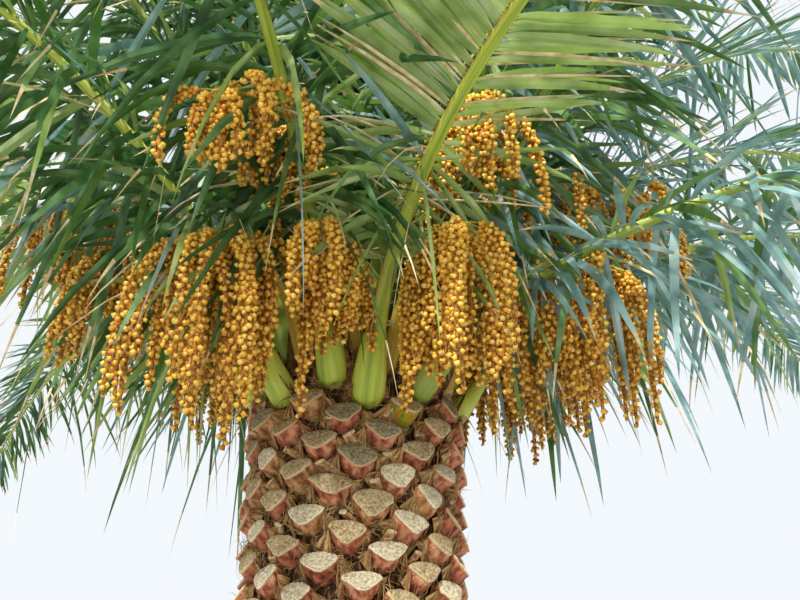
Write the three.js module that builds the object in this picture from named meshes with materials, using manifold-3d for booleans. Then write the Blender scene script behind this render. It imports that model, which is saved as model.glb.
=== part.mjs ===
// A Canary Island date palm in fruit, rooted in level ground: a stout trunk armoured with sawn-off leaf
// bases, a domed head that carries the living fronds, a heart of young upright fronds at its top, and
// bunches of dates on stalks that arch out between the lowest fronds.
// Millimetres and degrees, +Z up. The origin is the centre of the trunk's flat cut at ground level, and
// azimuths turn from +X towards +Y, so that the front of the palm faces -Y.

import * as THREE from "three";
import Module from "manifold-3d";

const wasm = await Module();
wasm.setup();

// Every leaf that the palm ever made sits on one spiral. Leaf 0 is the oldest living frond, the younger
// ones count up to the top of the head, and the sawn ones count down to the ground.
const DIVERGENCE = -137.508; // turn about the trunk from each leaf to the next younger one
const FRONT_AZIMUTH = -84; // of leaf 0's base
const LEFT_SPIRAL = 8; // leaves between neighbours on the two families of spirals
const RIGHT_SPIRAL = 13;

const TRUNK_HEIGHT = 2380; // ground to leaf 0
const LEAF_RISE = 6.6; // height between one leaf and the next on the trunk
const GROOVE_RADIUS = 322; // of the trunk at the floor of the grooves between leaf bases
const FOOT_FLARE = 120; // how much wider the trunk is at ground level
const FLARE_HEIGHT = 170;
const BELOW_GROUND = 250; // how far the trunk is drawn down before it is cut level

const SEATS = 58; // living leaves and fruit stalks that the head carries
const HEAD_HEIGHT = 360; // the head is an ellipse of this height on the trunk's radius
const HEAD_TURN = 72; // how far up the ellipse the youngest seat is

const SAW_TILT = 28; // elevation of a sawn face's normal
const BASE_STAND = 50; // how far a leaf base's face stands out of the groove, just below the fronds
const WORN_STAND = 26; // the same at ground level
const HEART_STAND = 24; // the same for the youngest seat
const WORN_BELOW = 520; // lower leaf bases are worn down to one blunt point
const BASE_HALF_WIDTH = 62;
const BASE_RISE = 34; // from a face's centre to its upper edge, along the face
const BASE_KEEL = 42; // from a face's centre to its keel, along the face
const SAWN_KEEL = 52; // the same on a sawn face
const SAWN_SIZE = 0.94; // of a sawn face beside the oldest seat's
const SAWN_SHOULDER = 6; // from a face's centre to its two side corners, along the face
const SEAT_SHOULDER = 26; // the same where a frond or a fruit stalk grows
const FACE_LIFT = 12; // of a face's centre above its leaf's height on the trunk
const YOUNGEST_SIZE = 0.4; // of the youngest seat's face beside the oldest's

const FRUIT_TIERS = [10, 29]; // the first seat of each tier of fruit stalks
const STALKS_A_TIER = 7;
const SEATS_A_STALK = 3;
const FRONT_STALK_SEAT = 21; // of one more stalk, over the front

const SEAT_GAP = 0.3; // between a frond or stalk and the leaf base that carries it
const LEAST_GAP = 0.6; // between anything else

const OLD_FROND = { start: 63, tip: -44, length: 3800, bend: 0.75 };
const YOUNG_FROND = { start: 84, tip: 46, length: 3250, bend: 1.3 };
const FRONT_FROND = { start: 72, tip: -44, length: 3800, bend: 0.6, sway: 34, roll: -14 };
const RIGHT_FROND_SEAT = 5; // of a low frond that swings round to the right
const RIGHT_FROND = { start: 50, tip: -17, length: 3800, bend: 0.43, sway: 50, roll: 0 };
const FROND_SWAYS = new Map([[18, -30], [23, 26]]); // by seat: two more lean aside, with open sky between
const EXTRA_LENGTH = 450; // of a frond halfway in age, beside the mean of old and young
const PETIOLE_SHARE = 0.14; // of a frond's length, bare of leaflets
const PETIOLE_CELLS = 3;
const PETIOLE_TAPER = 160; // how far from the seat a rib keeps some of its base's breadth
const RIB = { halfWidth: 25, depth: 34 }; // beyond the petiole's broad base
const RIB_END = { halfWidth: 4, depth: 6 };
const LEAFLET_CELLS = 14;
const FROND_LEAFLETS = { length: 480, spread: [64, 32], lift: [26, -4] };
const LEAFLET_DROOP = 0.14; // how much a leaflet's direction sinks, as a share of its length
const SHORTER = [1, 0.8, 0.6, 0.45, 0.3]; // lengths tried where something is in a leaflet's way
const LINE_STEPS = 48; // for a frond's or a stalk's curved line

const STALK = { start: 74, tip: -40, length: 700, bend: 1, halfWidth: 20, strand: 520 };
const UPPER_STALK = { start: 78, tip: -36, length: 1150, bend: 1.1, halfWidth: 20, strand: 360 };
const FRONT_STALK = { start: 70, tip: -40, length: 620, bend: 1, halfWidth: 16, strand: 340, sway: -16, roll: 0 };
const SIDE_STALK = { start: 80, tip: -40, length: 860, bend: 1, halfWidth: 20, strand: 520, roll: 0 };
const SIDE_SWAYS = new Map([[10, -30], [19, 26]]); // by seat: the side stalks lean round to the front
const STALK_CELLS = 6;
const STRANDS = 8; // strands of dates to a bunch
const STRAND_RADIUS = 44;
const STRANDS_FROM = 0.5; // share of the stalk beyond which strands hang

const HEART_FRONDS = 10;
const OUTER_HEART_FROND = { start: 82, tip: 52, length: 3000, root: 26 };
const INNER_HEART_FROND = { start: 88, tip: 80, length: 2100, root: 8 };
const HEART_PETIOLE_SHARE = 0.24;
const HEART_CELLS = 8;
const HEART_RIB = { halfWidth: 15, depth: 18 };
const HEART_LEAFLETS = { length: 330, spread: [26, 14], lift: [10, 0] };
const BUD_HEIGHT = 420;
const BUD_RADIUS = 62;
const HEART_CUT_RADIUS = 72; // of the flat that the bud stands on
const HEART_CUT_DEPTH = 12; // below the top of the head's ellipse

const TRUNK_COLOUR = 0x8e5540;
const FROND_COLOUR = 0x5d7f3c;
const FRUIT_COLOUR = 0xd48f2c;

const radians = THREE.MathUtils.degToRad;
const mix = THREE.MathUtils.lerp;
const UP = new THREE.Vector3(0, 0, 1);

// An even scatter of -1 to 1 over the leaves: the fractional part of an irrational step.
function scatter(leaf, channel) {
  const turns = leaf * 0.7548776662 + channel * 0.569840291;
  return 2 * (turns - Math.floor(turns)) - 1;
}

const outward = (azimuth) =>
  new THREE.Vector3(Math.cos(radians(azimuth)), Math.sin(radians(azimuth)), 0);
const sideways = (azimuth) => outward(azimuth + 90);
const facing = (azimuth, elevation) =>
  outward(azimuth)
    .multiplyScalar(Math.cos(radians(elevation)))
    .addScaledVector(UP, Math.sin(radians(elevation)));

// A closed mesh from points and outward triangles, as a solid that can be joined, cut and measured.
function solid(points, triangles) {
  const vertProperties = new Float32Array(points.flatMap((p) => [p.x, p.y, p.z]));
  const triVerts = new Uint32Array(triangles.flat());
  return new wasm.Manifold(new wasm.Mesh({ numProp: 3, vertProperties, triVerts }));
}

function solidOf(geometry) {
  const flat = geometry.toNonIndexed().getAttribute("position");
  const places = new Map();
  const points = [];
  const corners = [];
  for (let i = 0; i < flat.count; i += 1) {
    const point = new THREE.Vector3().fromBufferAttribute(flat, i);
    const place = point.toArray().map((v) => Math.round(v * 1000)).join();
    if (!places.has(place)) {
      places.set(place, points.length);
      points.push(point);
    }
    corners.push(places.get(place));
  }
  const triangles = [];
  for (let i = 0; i < corners.length; i += 3) {
    const triangle = corners.slice(i, i + 3);
    if (new Set(triangle).size === 3) triangles.push(triangle);
  }
  return solid(points, triangles);
}

function meshOf(name, made, colour, roughness) {
  const { numProp, vertProperties, triVerts } = made.getMesh();
  const geometry = new THREE.BufferGeometry();
  const places = new Float32Array((vertProperties.length / numProp) * 3);
  for (let i = 0; i < places.length / 3; i += 1) {
    places.set(vertProperties.subarray(i * numProp, i * numProp + 3), i * 3);
  }
  geometry.setAttribute("position", new THREE.BufferAttribute(places, 3));
  geometry.setIndex(new THREE.BufferAttribute(triVerts, 1));
  geometry.computeVertexNormals();
  const material = new THREE.MeshStandardMaterial({ color: colour, roughness, metalness: 0 });
  const mesh = new THREE.Mesh(geometry, material);
  mesh.name = name;
  return mesh;
}

// The trunk and the head, leaf by leaf.

const azimuthOf = (leaf) => FRONT_AZIMUTH + DIVERGENCE * leaf;

// The groove floor at a leaf's height: a column on a flared foot, then a quarter of an ellipse.
function stemAt(leaf) {
  if (leaf <= 0) {
    const height = TRUNK_HEIGHT + LEAF_RISE * leaf;
    const flare = FOOT_FLARE * Math.exp(-Math.max(height, 0) / FLARE_HEIGHT);
    return { radius: GROOVE_RADIUS + flare, height, slope: 0 };
  }
  const turn = radians((HEAD_TURN * leaf) / SEATS);
  const radius = GROOVE_RADIUS * Math.cos(turn);
  const height = TRUNK_HEIGHT + HEAD_HEIGHT * Math.sin(turn);
  const slope = Math.atan2(GROOVE_RADIUS * Math.sin(turn), HEAD_HEIGHT * Math.cos(turn));
  return { radius, height, slope: THREE.MathUtils.radToDeg(slope) };
}

function frondShape(leaf) {
  if (leaf === 0) return FRONT_FROND;
  if (leaf === RIGHT_FROND_SEAT) return RIGHT_FROND;
  const youth = leaf / SEATS;
  const shape = {};
  for (const key of ["start", "tip", "length", "bend"]) {
    shape[key] = mix(OLD_FROND[key], YOUNG_FROND[key], youth);
  }
  shape.start += 3 * scatter(leaf, 1);
  shape.tip += 7 * scatter(leaf, 2);
  shape.length += EXTRA_LENGTH * Math.sin(Math.PI * youth) + 120 * scatter(leaf, 3);
  shape.sway = FROND_SWAYS.get(leaf) ?? 12 * scatter(leaf, 4);
  shape.roll = 28 * scatter(leaf, 5);
  return shape;
}

const stalkTier = (leaf) =>
  FRUIT_TIERS.findIndex((first) => {
    const steps = (leaf - first) / SEATS_A_STALK;
    return Number.isInteger(steps) && steps >= 0 && steps < STALKS_A_TIER;
  });

const bearsFruit = (leaf) => leaf === FRONT_STALK_SEAT || stalkTier(leaf) >= 0;

function stalkShape(leaf) {
  if (leaf === FRONT_STALK_SEAT) return FRONT_STALK;
  if (SIDE_SWAYS.has(leaf)) return { ...SIDE_STALK, sway: SIDE_SWAYS.get(leaf) };
  const shape = { ...[STALK, UPPER_STALK][stalkTier(leaf)] };
  shape.length *= 1 + 0.08 * scatter(leaf, 1);
  shape.tip += 8 * scatter(leaf, 2);
  shape.sway = 8 * scatter(leaf, 5);
  shape.roll = 0;
  return shape;
}

// A leaf base's face: the sawn end below the fronds, or the seat of a frond or a fruit stalk.
function faceOf(leaf) {
  const stem = stemAt(leaf);
  const azimuth = azimuthOf(leaf);
  const living = leaf >= 0;
  const youth = Math.max(leaf, 0) / SEATS;
  const size = living ? mix(1, YOUNGEST_SIZE, youth) : SAWN_SIZE * (1 + 0.08 * scatter(leaf, 6));
  const stand = living
    ? mix(BASE_STAND, HEART_STAND, youth)
    : mix(WORN_STAND, BASE_STAND, stem.height / TRUNK_HEIGHT) + 5 * scatter(leaf, 7);
  let tilt = SAW_TILT + 5 * scatter(leaf, 8);
  if (living) tilt = (bearsFruit(leaf) ? stalkShape(leaf) : frondShape(leaf)).start;
  const centre = outward(azimuth).multiplyScalar(stem.radius).setZ(stem.height);
  centre.addScaledVector(facing(azimuth, stem.slope), stand);
  centre.addScaledVector(facing(azimuth, stem.slope + 90), FACE_LIFT * size);
  return {
    azimuth,
    centre,
    normal: facing(azimuth, tilt),
    side: sideways(azimuth),
    up: facing(azimuth, tilt + 90),
    halfWidth: BASE_HALF_WIDTH * size,
    rise: BASE_RISE * size,
    keel: (living ? BASE_KEEL : SAWN_KEEL) * size,
    shoulder: (living ? SEAT_SHOULDER : SAWN_SHOULDER) * size,
  };
}

const onFace = (face, across, along) =>
  face.centre.clone().addScaledVector(face.side, across).addScaledVector(face.up, along);

// The trunk's skin is a net of diamonds, one to a leaf, whose corners lie halfway between leaves in the
// groove, and each diamond is drawn out to its leaf's face.
function trunk() {
  const points = [];
  const triangles = [];
  const corners = new Map();
  const add = (point) => points.push(point) - 1;
  const halfDiamond = (LEFT_SPIRAL + RIGHT_SPIRAL) / 2;
  const halfTurn = THREE.MathUtils.euclideanModulo(2 * halfDiamond * DIVERGENCE, 360) - 360;
  const corner = (above) => {
    if (!corners.has(above)) {
      const stem = stemAt(above + halfDiamond);
      const place = outward(azimuthOf(above) + halfTurn / 2).multiplyScalar(stem.radius);
      corners.set(above, add(place.setZ(stem.height)));
    }
    return corners.get(above);
  };
  const lowest = -Math.ceil((TRUNK_HEIGHT + BELOW_GROUND) / LEAF_RISE);
  for (let leaf = lowest; leaf < SEATS; leaf += 1) {
    const ring = [
      corner(leaf - LEFT_SPIRAL - RIGHT_SPIRAL),
      corner(leaf - LEFT_SPIRAL),
      corner(leaf),
      corner(leaf - RIGHT_SPIRAL),
    ];
    const face = faceOf(leaf);
    if (stemAt(leaf).height < WORN_BELOW) {
      const point = add(onFace(face, 0, 0));
      ring.forEach((a, i) => triangles.push([a, ring[(i + 1) % 4], point]));
      continue;
    }
    const edge = [
      add(onFace(face, 0, -face.keel)),
      add(onFace(face, face.halfWidth, face.shoulder)),
      add(onFace(face, 0, face.rise)),
      add(onFace(face, -face.halfWidth, face.shoulder)),
    ];
    ring.forEach((a, i) => {
      const j = (i + 1) % 4;
      triangles.push([a, ring[j], edge[j]], [a, edge[j], edge[i]]);
    });
    triangles.push([edge[0], edge[1], edge[3]], [edge[1], edge[2], edge[3]]);
  }
  // The net's two open rims are closed on the axis.
  const open = new Set();
  for (const [a, b, c] of triangles) {
    for (const [from, to] of [[a, b], [b, c], [c, a]]) {
      if (!open.delete(`${to},${from}`)) open.add(`${from},${to}`);
    }
  }
  const top = add(new THREE.Vector3(0, 0, TRUNK_HEIGHT + HEAD_HEIGHT));
  const bottom = add(new THREE.Vector3(0, 0, -BELOW_GROUND));
  for (const rim of open) {
    const [from, to] = rim.split(",").map(Number);
    triangles.push([to, from, points[from].z > TRUNK_HEIGHT ? top : bottom]);
  }
  const ground = new THREE.BoxGeometry(4000, 4000, 2000).translate(0, 0, -1000);
  const heartCut = new THREE.CylinderGeometry(HEART_CUT_RADIUS, HEART_CUT_RADIUS, 200, 10);
  heartCut.rotateX(Math.PI / 2);
  heartCut.translate(0, 0, TRUNK_HEIGHT + HEAD_HEIGHT - HEART_CUT_DEPTH + 100);
  return solid(points, triangles).subtract(solidOf(ground)).subtract(solidOf(heartCut));
}

// Fronds and stalks.

// A curved line: its elevation falls from start to tip by a power of the share of the length, its azimuth
// sways, and it is rolled about itself. Gives the place and the axes at any share of the length.
function curvedLine(origin, azimuth, shape) {
  const places = [origin.clone()];
  const azimuthAt = (share) => azimuth + shape.sway * Math.sqrt(share);
  const directionAt = (share) =>
    facing(azimuthAt(share), shape.start + (shape.tip - shape.start) * share ** shape.bend);
  for (let i = 0; i < LINE_STEPS; i += 1) {
    const step = directionAt((i + 0.5) / LINE_STEPS).multiplyScalar(shape.length / LINE_STEPS);
    places.push(places[i].clone().add(step));
  }
  return (share) => {
    const at = Math.min(share, 1) * LINE_STEPS;
    const i = Math.min(Math.floor(at), LINE_STEPS - 1);
    const place = places[i].clone().lerp(places[i + 1], at - i);
    const along = directionAt(share);
    const level = sideways(azimuthAt(share));
    const roll = radians(shape.roll * share);
    const upright = along.clone().cross(level);
    const side = level.clone().multiplyScalar(Math.cos(roll)).addScaledVector(upright, Math.sin(roll));
    return { place, along, side, up: along.clone().cross(side) };
  };
}

// The three corners of a rib: flat above, keeled below, in the order right, left, keel.
const ribSection = (at, halfWidth, depth) => [
  at.place.clone().addScaledVector(at.side, halfWidth).addScaledVector(at.up, depth / 3),
  at.place.clone().addScaledVector(at.side, -halfWidth).addScaledVector(at.up, depth / 3),
  at.place.clone().addScaledVector(at.up, (-2 * depth) / 3),
];

const prism = (from, to) =>
  solid(
    [...from, ...to],
    [[0, 2, 1], [3, 4, 5], [0, 1, 4], [0, 4, 3], [1, 2, 5], [1, 5, 4], [2, 0, 3], [2, 3, 5]],
  );

// What has been placed already, with a box for a quick look before the exact one.
const placed = [];
function place(owner, made) {
  const { min, max } = made.boundingBox();
  placed.push({ owner, made, min, max });
}
function isClear(owner, made) {
  const { min, max } = made.boundingBox();
  return placed.every(
    (other) =>
      other.owner === owner ||
      [0, 1, 2].some((k) => other.max[k] + LEAST_GAP < min[k] || max[k] + LEAST_GAP < other.min[k]) ||
      made.minGap(other.made, LEAST_GAP) >= LEAST_GAP,
  );
}

// Leaflet length along the ribbed part of a frond: short at the petiole, longest a third of the way up,
// and short again at the tip.
function leafletLength(share) {
  if (share < 0.35) return 1 - 0.5 * (1 - share / 0.35) ** 2;
  return 1 - 0.6 * ((share - 0.35) / 0.65) ** 1.6;
}

// A frond's rib: its sections along the line, the last of them short of the tip, where it ends in a point.
function frondRib({ line, length, cells, petioleShare, base }) {
  const stations = [];
  for (let i = 0; i <= PETIOLE_CELLS; i += 1) stations.push((petioleShare * i) / PETIOLE_CELLS);
  for (let i = 1; i <= cells; i += 1) {
    stations.push(petioleShare + (1 - petioleShare) * (1 - (1 - i / cells) ** 1.25));
  }
  const sections = stations.slice(0, -1).map((share) => {
    const broad = Math.exp((-share * length) / PETIOLE_TAPER);
    const size = (key) =>
      mix(RIB[key], RIB_END[key], share ** 0.8) + (base[key] - RIB[key]) * broad;
    return ribSection(line(share), size("halfWidth"), size("depth"));
  });
  return { line, stations, sections, petioleShare, tip: line(1).place };
}

function placeRib(owner, rib) {
  rib.sections.slice(1).forEach((section, i) => place(owner, prism(rib.sections[i], section)));
}

// A leaflet is a long pyramid on one cell of a rib's side. One that would touch something is shortened,
// and left out when it would be too short. Gives the leaflet's tip, or null.
function leafletTip({ owner, rib, leaflets, cell, hand, root }) {
  const share = (rib.stations[cell] + rib.stations[cell + 1]) / 2;
  const axes = rib.line(share);
  const up = (share - rib.petioleShare) / (1 - rib.petioleShare);
  const away = radians(mix(...leaflets.spread, up));
  const raised = radians(mix(...leaflets.lift, up) + 7 * scatter(cell, 9 + hand));
  const across = axes.side.clone().multiplyScalar(hand * Math.cos(raised));
  across.addScaledVector(axes.up, Math.sin(raised));
  const direction = axes.along.clone().multiplyScalar(Math.cos(away));
  direction.addScaledVector(across, Math.sin(away)).addScaledVector(UP, -LEAFLET_DROOP);
  const middle = root.reduce((sum, p) => sum.addScaledVector(p, 0.25), new THREE.Vector3());
  for (const shorter of SHORTER) {
    const reach = shorter * leaflets.length * leafletLength(up);
    const tip = middle.clone().addScaledVector(direction, reach);
    const made = solid(
      [...root, tip],
      [[0, 1, 4], [1, 2, 4], [2, 3, 4], [3, 0, 4], [0, 2, 1], [0, 3, 2]],
    );
    if (isClear(owner, made)) {
      place(owner, made);
      return tip;
    }
  }
  return null;
}

// A frond's blade: the rib with a leaflet on each side of every cell beyond the petiole.
function frond(owner, rib, leaflets) {
  const points = [...rib.sections.flat(), rib.tip];
  const last = rib.sections.length - 1;
  const tip = points.length - 1;
  const triangles = [[0, 2, 1]];
  const at = (i, k) => 3 * i + (k % 3);
  for (let i = 0; i < last; i += 1) {
    for (let k = 0; k < 3; k += 1) {
      const quad = [at(i, k), at(i, k + 1), at(i + 1, k + 1), at(i + 1, k)];
      const root = quad.map((a) => points[a]);
      const hand = [0, -1, 1][k];
      const bare = hand === 0 || i < PETIOLE_CELLS;
      const leaf = bare ? null : leafletTip({ owner, rib, leaflets, cell: i, hand, root });
      if (leaf) {
        const end = points.push(leaf) - 1;
        quad.forEach((a, j) => triangles.push([a, quad[(j + 1) % 4], end]));
      } else {
        triangles.push([quad[0], quad[1], quad[2]], [quad[0], quad[2], quad[3]]);
      }
    }
  }
  for (let k = 0; k < 3; k += 1) triangles.push([at(last, k), at(last, k + 1), tip]);
  return solid(points, triangles);
}

// Strands of dates hang from the outer part of a stalk, spread to its sides and ahead of it. One that
// would touch a rib or another bunch is left out.
function strand(root, foot, radius) {
  const ring = (share, size) =>
    [0, 1, 2, 3].map((i) => {
      const at = root.clone().lerp(foot, share);
      const spread = foot.clone().sub(root).setZ(0);
      at.addScaledVector(spread, 0.6 * share * (1 - share));
      return at.addScaledVector(outward(90 * i + 45), size);
    });
  const points = [root, ...ring(0.3, radius), ...ring(0.8, 0.9 * radius), foot];
  const triangles = [];
  for (let i = 0; i < 4; i += 1) {
    const j = (i + 1) % 4;
    triangles.push([0, 1 + i, 1 + j], [1 + i, 5 + i, 5 + j], [1 + i, 5 + j, 1 + j], [5 + i, 9, 5 + j]);
  }
  return solid(points, triangles);
}

function stalk(line, shape, face) {
  const section = (share) => {
    const at = line(share);
    const half = share ? shape.halfWidth : Math.min(shape.halfWidth * 1.3, face.halfWidth);
    return ribSection(at, half, 0.9 * half);
  };
  const sections = [];
  for (let i = 0; i <= STALK_CELLS; i += 1) sections.push(section(i / STALK_CELLS));
  const points = sections.flat();
  const last = 3 * STALK_CELLS;
  const triangles = [[0, 2, 1], [last, last + 1, last + 2]];
  for (let i = 0; i < last; i += 3) {
    for (let k = 0; k < 3; k += 1) {
      const next = (k + 1) % 3;
      triangles.push([i + k, i + next, i + 3 + next], [i + k, i + 3 + next, i + 3 + k]);
    }
  }
  return solid(points, triangles);
}

function bunchStrands(owner, leaf, line, length) {
  const strands = [];
  for (let i = 0; i < STRANDS; i += 1) {
    const at = line(mix(STRANDS_FROM, 0.97, (i + 0.5) / STRANDS));
    const hand = i % 2 ? 1 : -1;
    const root = at.place.clone().addScaledVector(UP, 6);
    const foot = root.clone().addScaledVector(at.side, hand * (60 + 80 * Math.abs(scatter(i, leaf))));
    foot.addScaledVector(at.along.clone().setZ(0).normalize(), 70 * scatter(i, leaf + 1) + 40);
    foot.addScaledVector(UP, -length * (0.95 + 0.15 * scatter(i, leaf + 2)));
    const made = strand(root, foot, STRAND_RADIUS);
    if (!isClear(owner, made)) continue;
    place(owner, made);
    strands.push(made);
  }
  return strands;
}

// The whole palm. The trunk, all the ribs and all the stalks come first, so that strands and leaflets
// keep clear of them.

const palm = new THREE.Group();
const stem = trunk();
palm.add(meshOf("trunk", stem, TRUNK_COLOUR, 0.9));
place("trunk", stem);

const seatLeaves = Array.from({ length: SEATS }, (_, leaf) => leaf);
const twoDigits = (number) => String(number).padStart(2, "0");

const fronds = seatLeaves
  .filter((leaf) => !bearsFruit(leaf))
  .map((leaf, i) => {
    const owner = `frond_${twoDigits(i + 1)}`;
    const shape = frondShape(leaf);
    const face = faceOf(leaf);
    const origin = face.centre.clone().addScaledVector(face.normal, SEAT_GAP);
    const rib = frondRib({
      line: curvedLine(origin, face.azimuth, shape),
      length: shape.length,
      cells: LEAFLET_CELLS,
      petioleShare: PETIOLE_SHARE,
      base: { halfWidth: 0.86 * face.halfWidth, depth: 1.2 * face.keel },
    });
    placeRib(owner, rib);
    return { owner, rib };
  });

const bunches = seatLeaves
  .filter(bearsFruit)
  .map((leaf, i) => {
    const owner = `fruit_bunch_${twoDigits(i + 1)}`;
    const shape = stalkShape(leaf);
    const face = faceOf(leaf);
    const origin = face.centre.clone().addScaledVector(face.normal, SEAT_GAP);
    const line = curvedLine(origin, face.azimuth, shape);
    const made = stalk(line, shape, face);
    place(owner, made);
    return { owner, leaf, line, made, length: shape.strand };
  });

// The heart: a closed bud with the youngest fronds, still nearly upright, standing out of it.
const heart = [];
const budFoot = TRUNK_HEIGHT + HEAD_HEIGHT - HEART_CUT_DEPTH + SEAT_GAP;
const bud = new THREE.CylinderGeometry(BUD_RADIUS * 0.5, BUD_RADIUS, BUD_HEIGHT, 8);
bud.rotateX(Math.PI / 2).translate(0, 0, budFoot + BUD_HEIGHT / 2);
heart.push(solidOf(bud));
place("heart_fronds", heart[0]);
const heartRibs = [];
for (let i = 0; i < HEART_FRONDS; i += 1) {
  const youth = i / HEART_FRONDS;
  const between = (key) => mix(OUTER_HEART_FROND[key], INNER_HEART_FROND[key], youth);
  const shape = {
    start: between("start"),
    tip: between("tip") + 4 * scatter(i, 2),
    length: between("length"),
    bend: 1.4,
    sway: 12 * scatter(i, 4),
    roll: 0,
  };
  const azimuth = azimuthOf(SEATS + i);
  const origin = outward(azimuth).multiplyScalar(between("root"));
  origin.setZ(budFoot + BUD_HEIGHT * mix(0.3, 0.7, youth));
  const rib = frondRib({
    line: curvedLine(origin, azimuth, shape),
    length: shape.length,
    cells: HEART_CELLS,
    petioleShare: HEART_PETIOLE_SHARE,
    base: HEART_RIB,
  });
  placeRib("heart_fronds", rib);
  heartRibs.push(rib);
}

const joined = (parts) => parts.reduce((sum, part) => sum.add(part));
for (const { owner, leaf, line, made, length } of bunches) {
  const bunch = joined([made, ...bunchStrands(owner, leaf, line, length)]);
  palm.add(meshOf(owner, bunch, FRUIT_COLOUR, 0.5));
}
for (const rib of heartRibs) heart.push(frond("heart_fronds", rib, HEART_LEAFLETS));
palm.add(meshOf("heart_fronds", joined(heart), FROND_COLOUR, 0.6));
for (const { owner, rib } of fronds) {
  palm.add(meshOf(owner, frond(owner, rib, FROND_LEAFLETS), FROND_COLOUR, 0.6));
}

export default palm;
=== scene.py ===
import bpy
import numpy as np
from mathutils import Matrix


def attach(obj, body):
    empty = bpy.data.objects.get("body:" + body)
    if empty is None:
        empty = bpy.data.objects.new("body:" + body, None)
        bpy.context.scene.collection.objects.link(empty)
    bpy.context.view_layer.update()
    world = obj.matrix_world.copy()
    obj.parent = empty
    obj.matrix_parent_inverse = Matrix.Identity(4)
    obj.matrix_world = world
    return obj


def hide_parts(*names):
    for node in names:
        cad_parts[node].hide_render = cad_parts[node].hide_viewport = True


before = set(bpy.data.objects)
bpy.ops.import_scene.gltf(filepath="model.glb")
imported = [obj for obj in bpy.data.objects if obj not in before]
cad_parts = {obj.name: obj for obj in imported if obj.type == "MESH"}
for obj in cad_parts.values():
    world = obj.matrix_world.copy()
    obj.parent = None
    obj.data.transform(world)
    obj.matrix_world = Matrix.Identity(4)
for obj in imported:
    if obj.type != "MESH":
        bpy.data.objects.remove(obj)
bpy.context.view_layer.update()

# The camera. The viewer stands in front of the trunk at eye height, 2.8 m from its axis, and looks up
# into the crown, with the trunk a little left of the middle of the picture.
EYE = (0.0, -2.8, 1.6)
LOOK_UP = 24.0
LOOK_RIGHT = 3.2
LENS = 36.0
SENSOR_WIDTH = 36.0

camera = bpy.data.objects.new("viewer", bpy.data.cameras.new("viewer"))
camera.data.sensor_width = SENSOR_WIDTH
camera.data.lens = LENS
camera.location = EYE
camera.rotation_euler = (np.radians(90 + LOOK_UP), 0, np.radians(-LOOK_RIGHT))
bpy.context.scene.collection.objects.link(camera)
bpy.context.scene.camera = camera

# The stem under the leaf bases: a column of matted brown fibre on a flared foot, with a domed head, that
# shows dark in the grooves. Heights go by leaf: leaf 0 is the oldest living frond, the younger ones count
# up over the head, and the sawn ones count down the trunk to the ground.
TRUNK_HEIGHT = 2.380
LEAF_RISE = 0.0066
GROOVE_RADIUS = 0.322
FOOT_FLARE = 0.120
FLARE_HEIGHT = 0.170
SEATS = 58
HEAD_HEIGHT = 0.360
HEAD_TURN = 72.0
TRUNK_TOP = TRUNK_HEIGHT + HEAD_HEIGHT
STEM_COLUMNS = 112
STEM_ROWS = 150
HEAD_ROWS = STEM_ROWS // 4
STEM_RELIEF = 0.007
RELIEF_WAVES = (5, 9, 16, 27, 41)
WAVE_LEAN = 40
WAVE_PHASE = 6
STEM_GRAININESS = 0.5
PALM_SEED = 7
chance = np.random.default_rng(PALM_SEED)


def stem_at(leaf):
    """Radius, height and slope of the grooves' floor: a column on a foot that flares by a decaying
    exponential, then a quarter of an ellipse for the head."""
    leaf = np.asarray(leaf, dtype=float)
    height = TRUNK_HEIGHT + LEAF_RISE * leaf
    flare = FOOT_FLARE * np.exp(-np.maximum(height, 0) / FLARE_HEIGHT)
    turn = np.radians(HEAD_TURN * np.maximum(leaf, 0) / SEATS)
    slope = np.degrees(np.arctan2(GROOVE_RADIUS * np.sin(turn), HEAD_HEIGHT * np.cos(turn)))
    head = leaf > 0
    return (
        np.where(head, GROOVE_RADIUS * np.cos(turn), GROOVE_RADIUS + flare),
        np.where(head, TRUNK_HEIGHT + HEAD_HEIGHT * np.sin(turn), height),
        np.where(head, slope, 0),
    )


def colour(code):
    """Linear red, green and blue from a screen colour written #rrggbb, by the usual screen curve."""
    screen = np.array([int(code[i:i + 2], 16) for i in (1, 3, 5)]) / 255
    return tuple(np.where(screen <= 0.04045, screen / 12.92, ((screen + 0.055) / 1.055) ** 2.4))


def finish_of(name, code, roughness, specular=0.5):
    """A material with its plain colour and finish on the shader's own sockets."""
    material = bpy.data.materials.new(name)
    material.use_nodes = True
    shader = material.node_tree.nodes["Principled BSDF"]
    shader.inputs["Base Color"].default_value = (*colour(code), 1)
    shader.inputs["Roughness"].default_value = roughness
    shader.inputs["Specular IOR Level"].default_value = specular
    return material


def noise_on(material, scale, stretch=(1, 1, 1), detail=3.0, grain=False):
    """A noise from 0 to 1, scale cells to a metre and fewer along a shortened axis, on Object coordinates
    or on the grain, which is where a point would lie if its piece were straight."""
    tree = material.node_tree
    place = tree.nodes.new("ShaderNodeAttribute" if grain else "ShaderNodeTexCoord")
    if grain:
        place.attribute_name = "grain"
    mapping = tree.nodes.new("ShaderNodeMapping")
    mapping.inputs["Scale"].default_value = stretch
    noise = tree.nodes.new("ShaderNodeTexNoise")
    noise.inputs["Scale"].default_value = scale
    noise.inputs["Detail"].default_value = detail
    tree.links.new(place.outputs["Vector" if grain else "Object"], mapping.inputs["Vector"])
    tree.links.new(mapping.outputs["Vector"], noise.inputs["Vector"])
    return noise.outputs["Fac"]


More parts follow.
